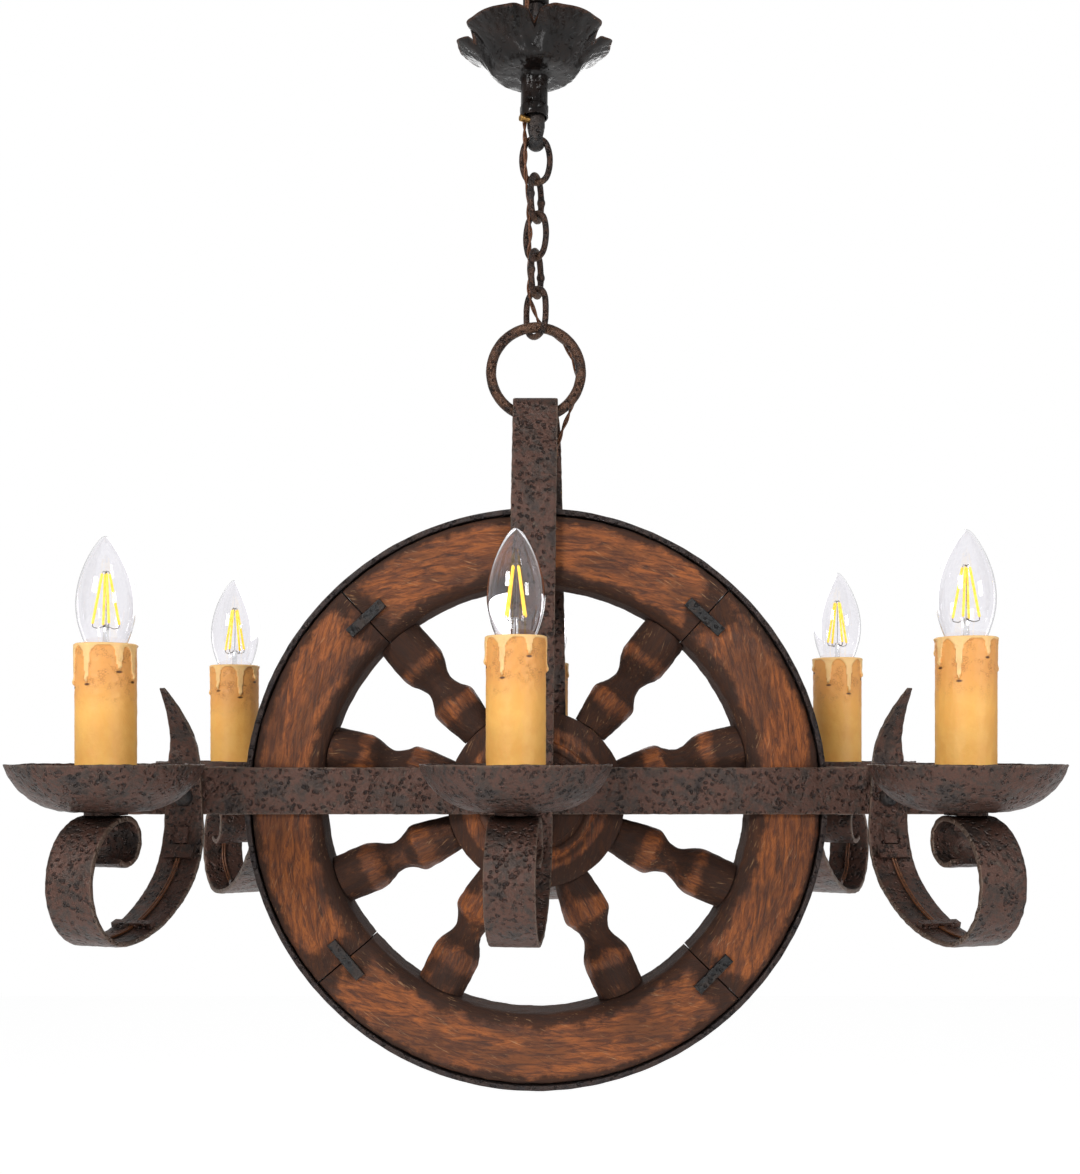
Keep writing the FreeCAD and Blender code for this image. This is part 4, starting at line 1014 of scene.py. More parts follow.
@dataclass
class Chain:
    """Five links of round wire and the hanging ring."""

    wire: float = 2.15
    link: tuple = (15.35, 9.6, 8.4)
    last_link: tuple = (16.35, 11.35, 11.0)
    tops: tuple = (-101.2, -127.3, -153.4, -179.5, -205.6)
    turns: tuple = (0.0, 68.0, 136.0, 70.0, 126.0)
    beaded: tuple = (1, 3)
    bead_height: float = 0.85
    bead_half: float = 1.9
    bead_limit: float = 2.9
    ring_line: float = 31.05
    ring_wire: float = 3.7
    ring_height: float = -263.1

    def oval(self, half_long: float, half_wide: float, end: float) -> np.ndarray:
        """Middle line of a link in its plane: four arcs that meet without a kink.

        Args:
            half_long: half its height.
            half_wide: half its width.
            end: radius of its two end arcs.

        Returns:
            Points (n, 3) once round, in the XZ plane.
        """
        centre = half_long - end
        side = (half_wide ** 2 + centre ** 2 - end ** 2) / (2 * (half_wide - end))
        lean = np.arctan2(centre, side - half_wide)
        top = np.linspace(np.pi - lean, lean, 24, endpoint=False)
        right = np.linspace(lean, -lean, 24, endpoint=False)
        arc = np.stack([end * np.cos(top), centre + end * np.sin(top)], 1)
        flank = np.stack([side * np.cos(right) - (side - half_wide), side * np.sin(right)], 1)
        half = np.concatenate([arc, flank])
        flat = np.concatenate([half, -half])
        return np.stack([flat[:, 0], np.zeros(len(flat)), flat[:, 1]], 1)

    def wire_grid(self, line: np.ndarray, radius: np.ndarray) -> np.ndarray:
        """A closed wire round a line in the XZ plane, its section square to the line.

        Args:
            line: the wire's middle, (n, 3).
            radius: of the wire at each point, (n).

        Returns:
            A grid (n, 20, 3).
        """
        along = np.roll(line, -1, 0) - np.roll(line, 1, 0)
        along /= np.linalg.norm(along, axis=1, keepdims=True)
        out = np.cross(along, [0.0, 1.0, 0.0])
        turn = np.linspace(0, TAU, 20, endpoint=False)
        ring = out[:, None] * np.cos(turn)[:, None] + np.array([0, 1, 0]) * np.sin(turn)[:, None]
        return line[:, None] + ring * radius[:, None, None]

    def build(self, link_finish: Material, ring_finish: Material) -> None:
        """Make the links, two of them with weld beads on their flanks, and the ring.

        Args:
            link_finish: the links' material.
            ring_finish: the ring's material.
        """
        for i, (top, angle) in enumerate(zip(self.tops, self.turns)):
            form = self.last_link if i == len(self.tops) - 1 else self.link
            line = self.oval(*form)
            radius = self.wire + 0.04 * ripple(line, size=9, seed=20 + i)
            if i in self.beaded:
                flank = np.exp(-(line[:, 2] / self.bead_half) ** 2)
                radius = np.minimum(radius + self.bead_height * flank, self.bead_limit)
            grid = about_z(self.wire_grid(line, radius), angle) + np.array([0, 0, top - form[0]])
            rub = np.exp(-((np.abs(line[:, 2]) - form[0]) / 2.2) ** 2)[:, None] * 0.75
            piece = Piece(f"forged_link_{i + 1}", link_finish, "dark_steel", (f"chain_link_{i + 1}",),
                          f"link_{i + 1}")
            piece.add(grid, loop=True, mark=rub).make()
        turn = np.linspace(0, TAU, 150, endpoint=False)
        line = np.stack([np.sin(turn), 0 * turn, np.cos(turn)], 1) * self.ring_line
        radius = self.ring_wire - 0.06 + 0.05 * ripple(line, size=14, seed=31)
        grid = self.wire_grid(line, radius) + np.array([0, 0, self.ring_height])
        rub = 0.45 * np.exp(-((np.abs(line[:, 2]) - self.ring_line) / 6) ** 2)[:, None]
        piece = Piece("forged_ring", ring_finish, "dark_steel", ("hanging_ring",), "ring")
        piece.add(hammered(grid, depth=0.12, size=6, seed=32, loop=True), loop=True, mark=rub).make()


# ---- Wheel --------------------------------------------------------------------------------
@dataclass
class Wheel:
    """Felloes, spokes, hub and tyre."""

    inner: float = 145.5
    outer: float = 193.5
    half_wide: float = 22.0
    inner_chamfer: float = 5.0
    outer_chamfer: float = 2.5
    joints: tuple = (47.3, 133.1, 220.1, 315.5)
    spokes: tuple = (14.0, 52.0, 130.5, 166.5, 202.6, 243.0, 294.0, 335.4)
    tyre_inner: float = 193.7
    tyre_outer: float = 197.7
    tyre_half: float = 21.5
    hub_radius: float = 61.0
    spoke_seat: float = 61.2
    spoke_end: float = 145.3
    seam: float = 0.16
    mean_radius: float = 170.0
    char_inner: float = 11.5
    char_outer: float = 8.0
    char_joint: float = 18.0

    def felloe_section(self) -> np.ndarray:
        """Chamfered outline as (radius, depth), with points close enough to dent and char.

        Returns:
            Points once round, (n, 2).
        """
        a, b, w = self.inner_chamfer, self.outer_chamfer, self.half_wide
        corners = np.array([
            [self.inner, a - w], [self.inner + a, -w], [self.outer - b, -w], [self.outer, b - w],
            [self.outer, w - b], [self.outer - b, w], [self.inner + a, w], [self.inner, w - a],
            [self.inner, a - w]])
        line = resampled(corners, 1.6)[:-1]
        for _ in range(2):
            line = (np.roll(line, 1, 0) + 2 * line + np.roll(line, -1, 0)) / 4
        return line

    def build_felloes(self, finish: Material) -> None:
        """Each felloe: the section turned about the wheel's axis between two joints.

        The charring mark grows towards the rim's edges, the inner face and the joints.

        Args:
            finish: the piece's material.
        """
        section = self.felloe_section()
        for i, start in enumerate(self.joints):
            span = (self.joints[(i + 1) % 4] - start) % 360
            turn = np.radians(np.linspace(start + self.seam, start + span - self.seam, int(span * 1.9)))
            radius, depth = section[None, :, 0], np.broadcast_to(section[:, 1], (len(turn), len(section)))
            grid = np.stack([radius * np.cos(turn)[:, None], depth, radius * np.sin(turn)[:, None]], -1)
            run = np.degrees(turn)[:, None] - start
            ends = np.radians(np.minimum(run, span - run)) * self.mean_radius
            far_in, far_out = section[:, 0] - self.inner, self.outer - section[:, 0]
            char = 0.95 * np.exp(-(far_in / self.char_inner) ** 2)
            char += 0.8 * np.exp(-(far_out / self.char_outer) ** 2)
            char = np.maximum(char[None, :], 0.75 * np.exp(-(ends / self.char_joint) ** 2))
            char = np.maximum(char, 0.5 * (np.abs(depth) < self.half_wide - 3))
            off = turn[:, None] - np.radians(start + span / 2)
            place = np.stack([off * radius + 300 * i, depth + 60 * i, radius * np.cos(off * 0.8)], -1)
            dented = hammered(grid, depth=0.55, size=17, seed=40 + i)
            dented = hammered(dented, depth=0.25, size=5, seed=50 + i) + np.array([0, 0, WHEEL_HEIGHT])
            piece = Piece(f"charred_felloe_{i + 1}", finish, "brown_wood", (f"felloe_{i + 1}",))
            piece.add(dented, grain=place, mark=char).make()

    def spoke_line(self) -> np.ndarray:
        """Distance from the axis and radius along a turned spoke, its corners lightly rounded.

        Returns:
            Points from the hub outwards, (n, 2).
        """
        keys = np.array([
            [60.5, 12.6], [66, 13.6], [76, 15.4], [85.5, 16.6], [89, 16.4], [93, 13.4], [97, 11.2],
            [102.5, 9.7], [108, 11.4], [114, 15.0], [119.5, 17.0], [128, 17.1], [138, 16.9], [145.4, 16.7]])
        return softened(resampled(keys, 0.9), 5)

    def build_spokes(self, finish: Material) -> None:
        """Each spoke: its line turned, flattened in places by a drawknife, its ends hollowed.

        Args:
            finish: the piece's material.
        """
        line = self.spoke_line()
        for i, angle in enumerate(self.spokes):
            turn = np.linspace(0, TAU, 56, endpoint=False)
            facets = 1 - 0.018 * (0.5 + 0.5 * np.cos(turn * 9 + i))
            radius = line[:, 1:] * facets[None]
            x = np.broadcast_to(line[:, :1], radius.shape)
            grid = np.stack([x, radius * np.sin(turn), radius * np.cos(turn)], -1)
            reach = np.sqrt(self.spoke_end ** 2 - grid[..., 2] ** 2)
            seat = np.sqrt(self.spoke_seat ** 2 - grid[..., 2] ** 2)
            grid[..., 0] = np.clip(grid[..., 0], seat, reach)
            # Charring all along the spoke, eased on its two raised rings: the lighter wood there is a
            # painted highlight.
            collar_highlight = np.exp(-((line[:, 0] - 84) / 7) ** 2) + 0.75 * np.exp(-((line[:, 0] - 121) / 6) ** 2)
            char = (0.78 - 0.62 * collar_highlight)[:, None] + 0.12 * np.cos(turn + i)[None]
            place = grid + np.array([300 * i, 0, 900])
            dented = on_wheel(hammered(grid, depth=0.4, size=8, seed=60 + i), angle)
            Piece(f"turned_spoke_{i + 1}", finish, "brown_wood", (f"spoke_{i + 1}",)).add(
                dented, grain=place, mark=char).make()

    def build_hub(self, finish: Material) -> None:
        """The hub: a stepped boss with a groove on each face, turned about the bolt's hole.

        Args:
            finish: the piece's material.
        """
        face, step, rim, out = self.half_wide, 18.5, 14.0, self.hub_radius
        half = np.array([
            [5.0, 0], [5.0, face], [31.4, face], [32, face - 1.5], [34.5, face - 1.5], [35.1, face],
            [39.9, face], [40.5, face - 0.7], [40.7, step + 0.4], [41.4, step], [46.2, step],
            [47.2, step - 0.4], [out - 0.6, rim + 0.4], [out, rim - 0.5], [out, 0]])
        line = resampled(np.concatenate([half, (half * [1, -1])[::-1][1:-1], half[:1]]), 1.3)[:-1]
        grid = turned(line, 160)
        grid = np.stack([grid[..., 0], grid[..., 2], grid[..., 1]], -1)
        edge = np.exp(-((line[:, 0] - 47) / 3.5) ** 2) + np.exp(-((line[:, 0] - 40) / 2.5) ** 2)
        char = (0.8 - 0.55 * edge.clip(0, 1))[:, None] + 0.2 * ripple(grid, size=60, seed=70)
        place = np.stack([grid[..., 2], grid[..., 1], grid[..., 0]], -1) + np.array([4000, 0, 0])
        dented = hammered(grid, depth=0.4, size=12, seed=71, loop=True) + np.array([0, 0, WHEEL_HEIGHT])
        Piece("turned_hub", finish, "brown_wood", ("hub",)).add(dented, True, grain=place, mark=char).make()

    def build_tyre(self, finish: Material) -> None:
        """The tyre: a flat bar's section turned about the wheel's axis, its edges hammered.

        Args:
            finish: the piece's material.
        """
        half = (self.tyre_outer - self.tyre_inner) / 2
        section = rounded_box(self.tyre_half, half, radius=0.9, cuts=16)
        turn = np.linspace(0, TAU, 260, endpoint=False)[:, None]
        radius = self.tyre_inner + half + section[None, :, 1]
        depth = np.broadcast_to(section[:, 0], (260, len(section)))
        grid = np.stack([radius * np.cos(turn), depth, radius * np.sin(turn)], -1)
        edge = (np.abs(depth) > self.tyre_half - 1.2) * 0.4
        dented = hammered(grid, depth=0.35, size=13, seed=80, loop=True) + np.array([0, 0, WHEEL_HEIGHT])
        Piece("hammered_tyre", finish, "forged_iron", ("tyre",)).add(dented, loop=True, mark=edge).make()


# ---- Ironwork -----------------------------------------------------------------------------
@dataclass(frozen=True)
class Arm:
    """One scroll arm and the candle that it carries."""

    name: str
    place: float
    side: Side
    heading: float
    scroll: float
    sleeve: float
    horn: bool = False

    def to_world(self, points: np.ndarray) -> np.ndarray:
        """From the arm's own frame (outwards, across, up) to the model's."""
        return about_z(points, self.heading - 90) + self.foot()

    def foot(self) -> np.ndarray:
        """Where the arm stands on its bar, at the bars' middle height."""
        return np.array([self.place, self.side.value * STRAP_MIDDLE, BARS_MIDDLE])

    def candle(self) -> np.ndarray:
        """The candle's axis at the level of the pan's underside.

        Returns:
            The point (3).
        """
        heading = np.radians(self.heading)
        reach = Ironwork.reach
        y = self.side.value * STRAP_MIDDLE - reach * np.cos(heading)
        return np.array([self.place + reach * np.sin(heading), y, PAN_UNDER])


ARMS = (
    Arm("front_left_arm", -236.5, Side.FRONT, -16.0, 38.0, 100.5, True),
    Arm("hanging_strap", -4.2, Side.FRONT, -5.0, 38.0, 105.0),
    Arm("front_right_arm", 236.5, Side.FRONT, 16.0, 38.0, 104.5, True),
    Arm("rear_left_arm", -188.0, Side.REAR, 208.5, 33.0, 101.0),
    Arm("hanging_strap", 6.6, Side.REAR, 180.0, 36.0, 103.5),
    Arm("rear_right_arm", 188.0, Side.REAR, 151.5, 33.0, 106.5),
)


@dataclass
class Ironwork:
    """Strap, arms, bars, rivets, bolt and pans."""

    reach: float = 92.0
    start: float = 22.0
    top: float = 14.0
    curl: float = 14.0
    curl_end: float = 485.0
    neck_bend: float = 48.0
    strap_half: float = 15.5
    foot_half: float = 13.25
    head_half: float = 11.25
    bar_half: float = 16.0
    fold_height: float = -289.98
    fold_x: float = -0.4
    fold_line: float = 7.0
    leg_spread: float = 17.0
    horn_height: float = 52.0
    horn_straight: float = 12.0
    horn_reach: float = 25.0
    horn_lean: float = 20.0
    tip_half: float = 2.0
    front_bar_half: float = 275.0
    rear_bar_half: float = 240.0
    bar_middle: float = 24.0
    tie_place: float = 220.0
    pan_flat: float = 20.0
    pan_rim: float = 58.9

    def bends(self, arm: Arm) -> list:
        """From angle, to angle, radius and centre (outwards, up) of each bend of an arm.

        Args:
            arm: the arm.

        Returns:
            One row for each bend, from the bar to the curl.
        """
        turn = np.radians(self.neck_bend)
        depth = self.top + 2 * arm.scroll - self.start
        spread = (1 - np.cos(turn)) * (1 - np.sin(turn)) - np.sin(turn) * np.cos(turn)
        first = (self.reach * (1 - np.sin(turn)) - depth * np.cos(turn)) / spread
        second = ((1 - np.cos(turn)) * depth - np.sin(turn) * self.reach) / spread
        return [
            (0, self.neck_bend, first, (first, -self.start)),
            (self.neck_bend, 90, second, (self.reach, -self.top - 2 * arm.scroll + second)),
            (90, 270, arm.scroll, (self.reach, -self.top - arm.scroll)),
            (270, self.curl_end, self.curl, (self.reach, -self.top - self.curl)),
        ]

    def path(self, arm: Arm, begin: float, stop: float, inside: float = 0.0) -> tuple:
        """The arm's line from an angle to another, in its own frame.

        A point is a bend's centre less its radius along the angle's direction. The strap turns
        about the vertical from flat on the bar to square to its heading over the first bend.

        Args:
            arm: the arm.
            begin: first angle in degrees.
            stop: last angle.
            inside: how far the line lies on the inner side of the bends.

        Returns:
            Points (n, 3), directions across (n, 3) and angles (n).
        """
        spots, angles = [], []
        for low, high, radius, centre in self.bends(arm):
            low, high = max(low, begin), min(high, stop)
            if low >= high:
                continue
            count = max(3, int(np.radians(high - low) * radius / 1.8))
            turn = np.linspace(low, high, count, endpoint=high == stop)
            out = centre[0] - (radius - inside) * np.cos(np.radians(turn))
            up = centre[1] - (radius - inside) * np.sin(np.radians(turn))
            spots.append(np.stack([out, np.zeros(count), up], 1))
            angles.append(turn)
        spots, angles = np.concatenate(spots), np.concatenate(angles)
        share = np.minimum(angles / self.neck_bend, 1)
        flat = (0 if arm.side is Side.FRONT else 180) - arm.heading
        yaw = np.radians(flat) * (1 - share * share * (3 - 2 * share))
        across = np.stack([-np.sin(yaw), np.cos(yaw), 0 * yaw], 1)
        if inside:
            flat, up = np.cos(np.radians(angles)), np.sin(np.radians(angles))
            level = np.stack([flat, 0 * yaw, up], 1)
            turned_in = np.stack([flat * np.cos(yaw), flat * np.sin(yaw), up], 1)
            spots = spots + (turned_in - level) * inside
        return spots, across, angles

    def horn_rows(self, arm: Arm) -> tuple:
        """The leaf-shaped horn above the bar: it narrows, turns and leans out to its tip.

        Args:
            arm: the arm that the horn tops.

        Returns:
            Points from the tip down, directions across, half widths and half thicknesses.
        """
        share = np.linspace(1, 0, 30)[:-1]
        straight = self.horn_straight / self.horn_height
        bend = np.maximum(0, (share - straight) / (1 - straight))
        side = 1 if arm.heading > 0 else -1
        lean = np.radians(side * self.horn_lean - arm.heading)
        yaw = np.radians(-arm.heading) * (1 - share) + lean * share
        out = self.horn_reach * bend ** 1.6
        up = self.bar_half + self.horn_height * share
        spots = np.stack([out * np.cos(lean), out * np.sin(lean), up], 1)
        across = np.stack([-np.sin(yaw), np.cos(yaw), 0 * yaw], 1)
        half = self.tip_half + (self.head_half - self.tip_half) * (1 - share ** 1.25)
        return spots, across, half, 0.35 + 0.65 * np.minimum(1, (1 - share) * 3)

    def arm_grid(self, arm: Arm) -> tuple:
        """A side arm from its head down to the end of its curl, with the wear along its edges.

        Args:
            arm: the arm.

        Returns:
            The grid and its mark.
        """
        spots, across, angles = self.path(arm, 0, self.curl_end)
        wide = self.foot_half + (self.strap_half - self.foot_half) * np.minimum(angles / self.neck_bend, 1)
        high = np.linspace(self.bar_half, -self.start, 14)[:-1]
        head = np.stack([0 * high, 0 * high, high], 1)
        head_wide = np.interp(high, [-self.start, self.bar_half], [self.foot_half, self.head_half])
        if arm.horn:
            horn, horn_across, horn_wide, horn_thick = self.horn_rows(arm)
        else:
            rise = np.array([0.0, 0.4, 1.6])
            horn = np.stack([0 * rise, 0 * rise, self.bar_half - rise], 1)
            horn_across = np.repeat(across[:1], 3, 0)
            horn_wide, horn_thick = np.array([6.5, 9.0, 10.8]), np.array([0.9, 1.0, 1.0])
            keep = high < self.bar_half - 3
            head, head_wide = head[keep], head_wide[keep]
        line = np.concatenate([horn, head, spots])
        ways = np.concatenate([horn_across, np.repeat(across[:1], len(head), 0), across])
        wide = np.concatenate([horn_wide, head_wide, wide])
        thick = np.concatenate([horn_thick, np.ones(len(head) + len(spots))])
        return self.ribbon(line, ways, wide, thick)

    def ribbon(self, line: np.ndarray, ways: np.ndarray, wide: np.ndarray, thick: np.ndarray) -> tuple:
        """A flat bar carried along a line, and how near each point is to its edges.

        Args:
            line: the bar's middle, (n, 3).
            ways: its width direction at each point, (n, 3).
            wide: half its width at each point.
            thick: factor on its thickness at each point.

        Returns:
            The grid and its mark.
        """
        section = rounded_box(1.0, STRAP_HALF, radius=0.06, cuts=12)
        section[:, 1] = np.sign(section[:, 1]) * np.minimum(np.abs(section[:, 1]), STRAP_HALF)
        corner = np.abs(section[:, 0]) > 0.93
        section[corner, 1] *= 0.62 + 0.38 * np.sqrt(np.clip((1 - np.abs(section[corner, 0])) / 0.07, 0, 1))
        grid = carried(line, ways, section, wide, thick)
        edge = np.exp(-((1 - np.abs(section[:, 0]))[None] * wide[:, None] / 1.0) ** 2)
        return grid, edge * 0.8

    def build_arms(self, finish: Material) -> None:
        """The four side arms.

        Args:
            finish: the piece's material.
        """
        for i, arm in enumerate(a for a in ARMS if a.name != "hanging_strap"):
            grid, edge = self.arm_grid(arm)
            grid = hammered(arm.to_world(grid), depth=0.45, size=9, seed=90 + i)
            Piece(f"forged_{arm.name}", finish, "forged_iron", (arm.name,)).add(grid, mark=edge).make()

    def leaned(self, leg: np.ndarray, arm: Arm, power: float) -> np.ndarray:
        """Shift a leg of the strap sideways, from the fold at its top to its arm at its foot.

        The shift grows with a power of the way down.

        Args:
            leg: points from the top down, (n, 3).
            arm: the arm below it.
            power: of the way down.

        Returns:
            The shifted points.
        """
        share = (leg[0, 2] - leg[:, 2]) / (leg[0, 2] - leg[-1, 2])
        x = self.fold_x + (arm.place - self.fold_x) * share ** power
        return np.column_stack([x, leg[:, 1:]])

    def build_strap(self, finish: Material) -> None:
        """One bar: front curl, front leg, fold over the ring, rear leg, rear curl.

        Args:
            finish: the piece's material.
        """
        rows, ways = [], []
        for arm in (ARMS[1], ARMS[4]):
            spots, across, _ = self.path(arm, 0, self.curl_end)
            spots, across = arm.to_world(spots), about_z(across, arm.heading - 90)
            side, lean = arm.side.value, np.radians(self.leg_spread)
            out, up = self.fold_line * np.cos(lean), self.fold_line * np.sin(lean)
            top = np.array([side * out, self.fold_height + up])
            run = (STRAP_MIDDLE - out) / np.sin(lean)
            elbow = np.array([side * STRAP_MIDDLE, top[1] - run * np.cos(lean)])
            leg = np.array([[0, *top], [0, *elbow], [0, *spots[0, 1:]]])
            leg = resampled(self.leaned(leg, arm, 1.0), 2.5)
            leg = softened(self.leaned(leg, arm, 0.4 if side > 0 else 0.8), 12)[:-1]
            side_on = np.repeat([[1.0, 0.0, 0.0]], len(leg), 0)
            across = across * (1 if arm.side is Side.FRONT else -1)
            rows.append(np.concatenate([leg, spots]))
            ways.append(np.concatenate([side_on, across]))
        turn = np.radians(np.linspace(180 - self.leg_spread, self.leg_spread, 16))[1:-1]
        fold = np.stack([np.full(len(turn), self.fold_x), np.cos(turn) * self.fold_line,
                         self.fold_height + np.sin(turn) * self.fold_line], 1)
        line = np.concatenate([rows[0][::-1], fold, rows[1]])
        across = np.concatenate([ways[0][::-1], np.repeat([[1.0, 0.0, 0.0]], len(fold), 0), ways[1]])
        grid, edge = self.ribbon(line, across, np.full(len(line), self.strap_half), np.ones(len(line)))
        near_fold = line[:, 2] > self.fold_height - 14
        dents = hammered(grid, depth=0.4, size=9, seed=95)
        dents[near_fold] = grid[near_fold]
        Piece("forged_strap", finish, "forged_iron", ("hanging_strap",)).add(dents, mark=edge).make()

    def build_bars(self, finish: Material) -> None:
        """The front and rear bars: a rounded section drawn along X and hammered all over.

        Args:
            finish: the piece's material.
        """
        section = rounded_box(self.bar_half, STRAP_HALF, radius=0.8, cuts=16)
        bars = (("front_bar", self.front_bar_half, -1), ("rear_bar", self.rear_bar_half, 1))
        for name, half_long, side in bars:
            x = np.linspace(-half_long, half_long, 150)
            line = np.stack([x, np.full_like(x, side * self.bar_middle), np.full_like(x, BARS_MIDDLE)], 1)
            grid = carried(line, np.repeat([[0.0, 0.0, 1.0]], len(x), 0), section)
            edge = np.exp(-((self.bar_half - np.abs(grid[..., 2] - BARS_MIDDLE)) / 1.0) ** 2) * 0.75
            Piece(f"forged_{name}", finish, "forged_iron", (name,)).add(
                hammered(grid, depth=0.4, size=10, seed=100 + side), mark=edge).make()

    def knob(self, radius: float, height: float, shank: float, length: float) -> np.ndarray:
        """A forged head on its shank: a dome's outline turned, then dented. Z points outwards.

        Args:
            radius: of the dome's foot.
            height: of the dome.
            shank: radius of the shank.
            length: of the shank.

        Returns:
            A grid with the head above Z = 0 and the shank below it.
        """
        turn = np.linspace(np.pi / 2, 0, 14)
        dome = np.stack([radius * np.cos(turn) + 0.02, height * np.sin(turn)], 1)
        foot = np.array([[radius, 0.0], [shank, 0.0], [shank, -length], [0.05, -length]])
        grid = turned(np.concatenate([dome, foot]), 40)
        return grid * (1 - 0.03 * (0.5 + 0.5 * ripple(grid, size=7, seed=110)))[..., None]

    def along_y(self, grid: np.ndarray, x: float, y: float, z: float, side: int) -> np.ndarray:
        """Lay a piece made along Z out along Y, to the front or the rear."""
        return np.stack([grid[..., 0] + x, side * grid[..., 2] + y, grid[..., 1] + z], -1)

    def build_fasteners(self, finish: Material, dark: Material) -> None:
        """Rivets, end ties and the centre bolt with its nut.

        Args:
            finish: the ties' material.
            dark: the rivets' and the bolt's material.
        """
        rivets = Piece("hammered_rivets", dark, "forged_iron", ("arm_rivets",))
        for arm in (a for a in ARMS if a.name != "hanging_strap"):
            side = arm.side.value
            rivets.add(self.along_y(self.knob(6.5, 7, 3, 8), arm.place, side * 30.0, BARS_MIDDLE - 4, side),
                       mark=0.25)
        rivets.make()
        ties = Piece("forged_ties", finish, "forged_iron", ("end_ties",))
        for x in (-self.tie_place, self.tie_place):
            line = np.array([
                [0.05, -28.6], [2.2, -28.3], [3.6, -27.0], [3.7, -26.0], [3.0, -26.0], [3.0, -22.0],
                [5.5, -21.9]])
            line = np.concatenate([line, (line * [1, -1])[::-1]])
            grid = turned(line, 32)
            ties.add(self.along_y(grid, x, 0, BARS_MIDDLE + 4, 1))
        ties.make()
        bolt = Piece("forged_bolt", dark, "dark_steel", ("centre_bolt",))
        bolt.add(self.along_y(self.knob(9, 7, 4.75, 71), 0, -30.0, WHEEL_HEIGHT, -1), mark=0.3)
        nut = turned(np.array([[4.8, 0.0], [8.6, 0.0], [9.7, 0.7], [9.7, 7.2], [8.6, 8.0], [4.8, 8.0]]), 6)
        bolt.add(self.along_y(nut, 0, 30.0, WHEEL_HEIGHT, 1), loop=True).make()

    def build_pans(self, finish: Material) -> None:
        """Six dished pans: the outline turned, the rim rolled and beaten slightly out of true.

        Args:
            finish: the piece's material.
        """
        width, depth = 39.0, 29.0
        radius = (width ** 2 + depth ** 2) / (2 * depth)
        lean = np.linspace(0, np.arcsin(width / radius), 34)
        under = np.stack([self.pan_flat + radius * np.sin(lean), radius - radius * np.cos(lean)], 1)
        inner = radius - PAN_SHEET
        upper = np.stack([self.pan_flat + inner * np.sin(lean), radius - inner * np.cos(lean)], 1)[::-1]
        lip = np.array([[58.7, 29.4], [58.2, 29.6]])
        hole = [[12, PAN_SHEET], [5.2, PAN_SHEET - 0.2]]
        line = np.concatenate([[[5.2, 0.2], [12, 0]], under, lip, upper, hole])
        for i, arm in enumerate(ARMS):
            grid = turned(line, 150)
            turn = np.arctan2(grid[..., 1], grid[..., 0])
            climb = np.clip((np.hypot(grid[..., 0], grid[..., 1]) - 30) / 29, 0, 1)
            grid[..., 2] -= climb ** 2 * (0.35 + 0.35 * np.sin(3 * turn + i) * np.cos(5 * turn + 2 * i))
            edge = np.exp(-((line[:, 0] - self.pan_rim) / 0.5) ** 2)[:, None] * 0.6
            grid = hammered(grid, depth=0.5, size=9, seed=120 + i, loop=True)
            grid = about_z(grid, arm.heading - 90) + arm.candle()
            Piece(f"beaten_pan_{i + 1}", finish, "forged_iron", (f"drip_pan_{i + 1}",)).add(
                grid, loop=True, mark=edge).make()


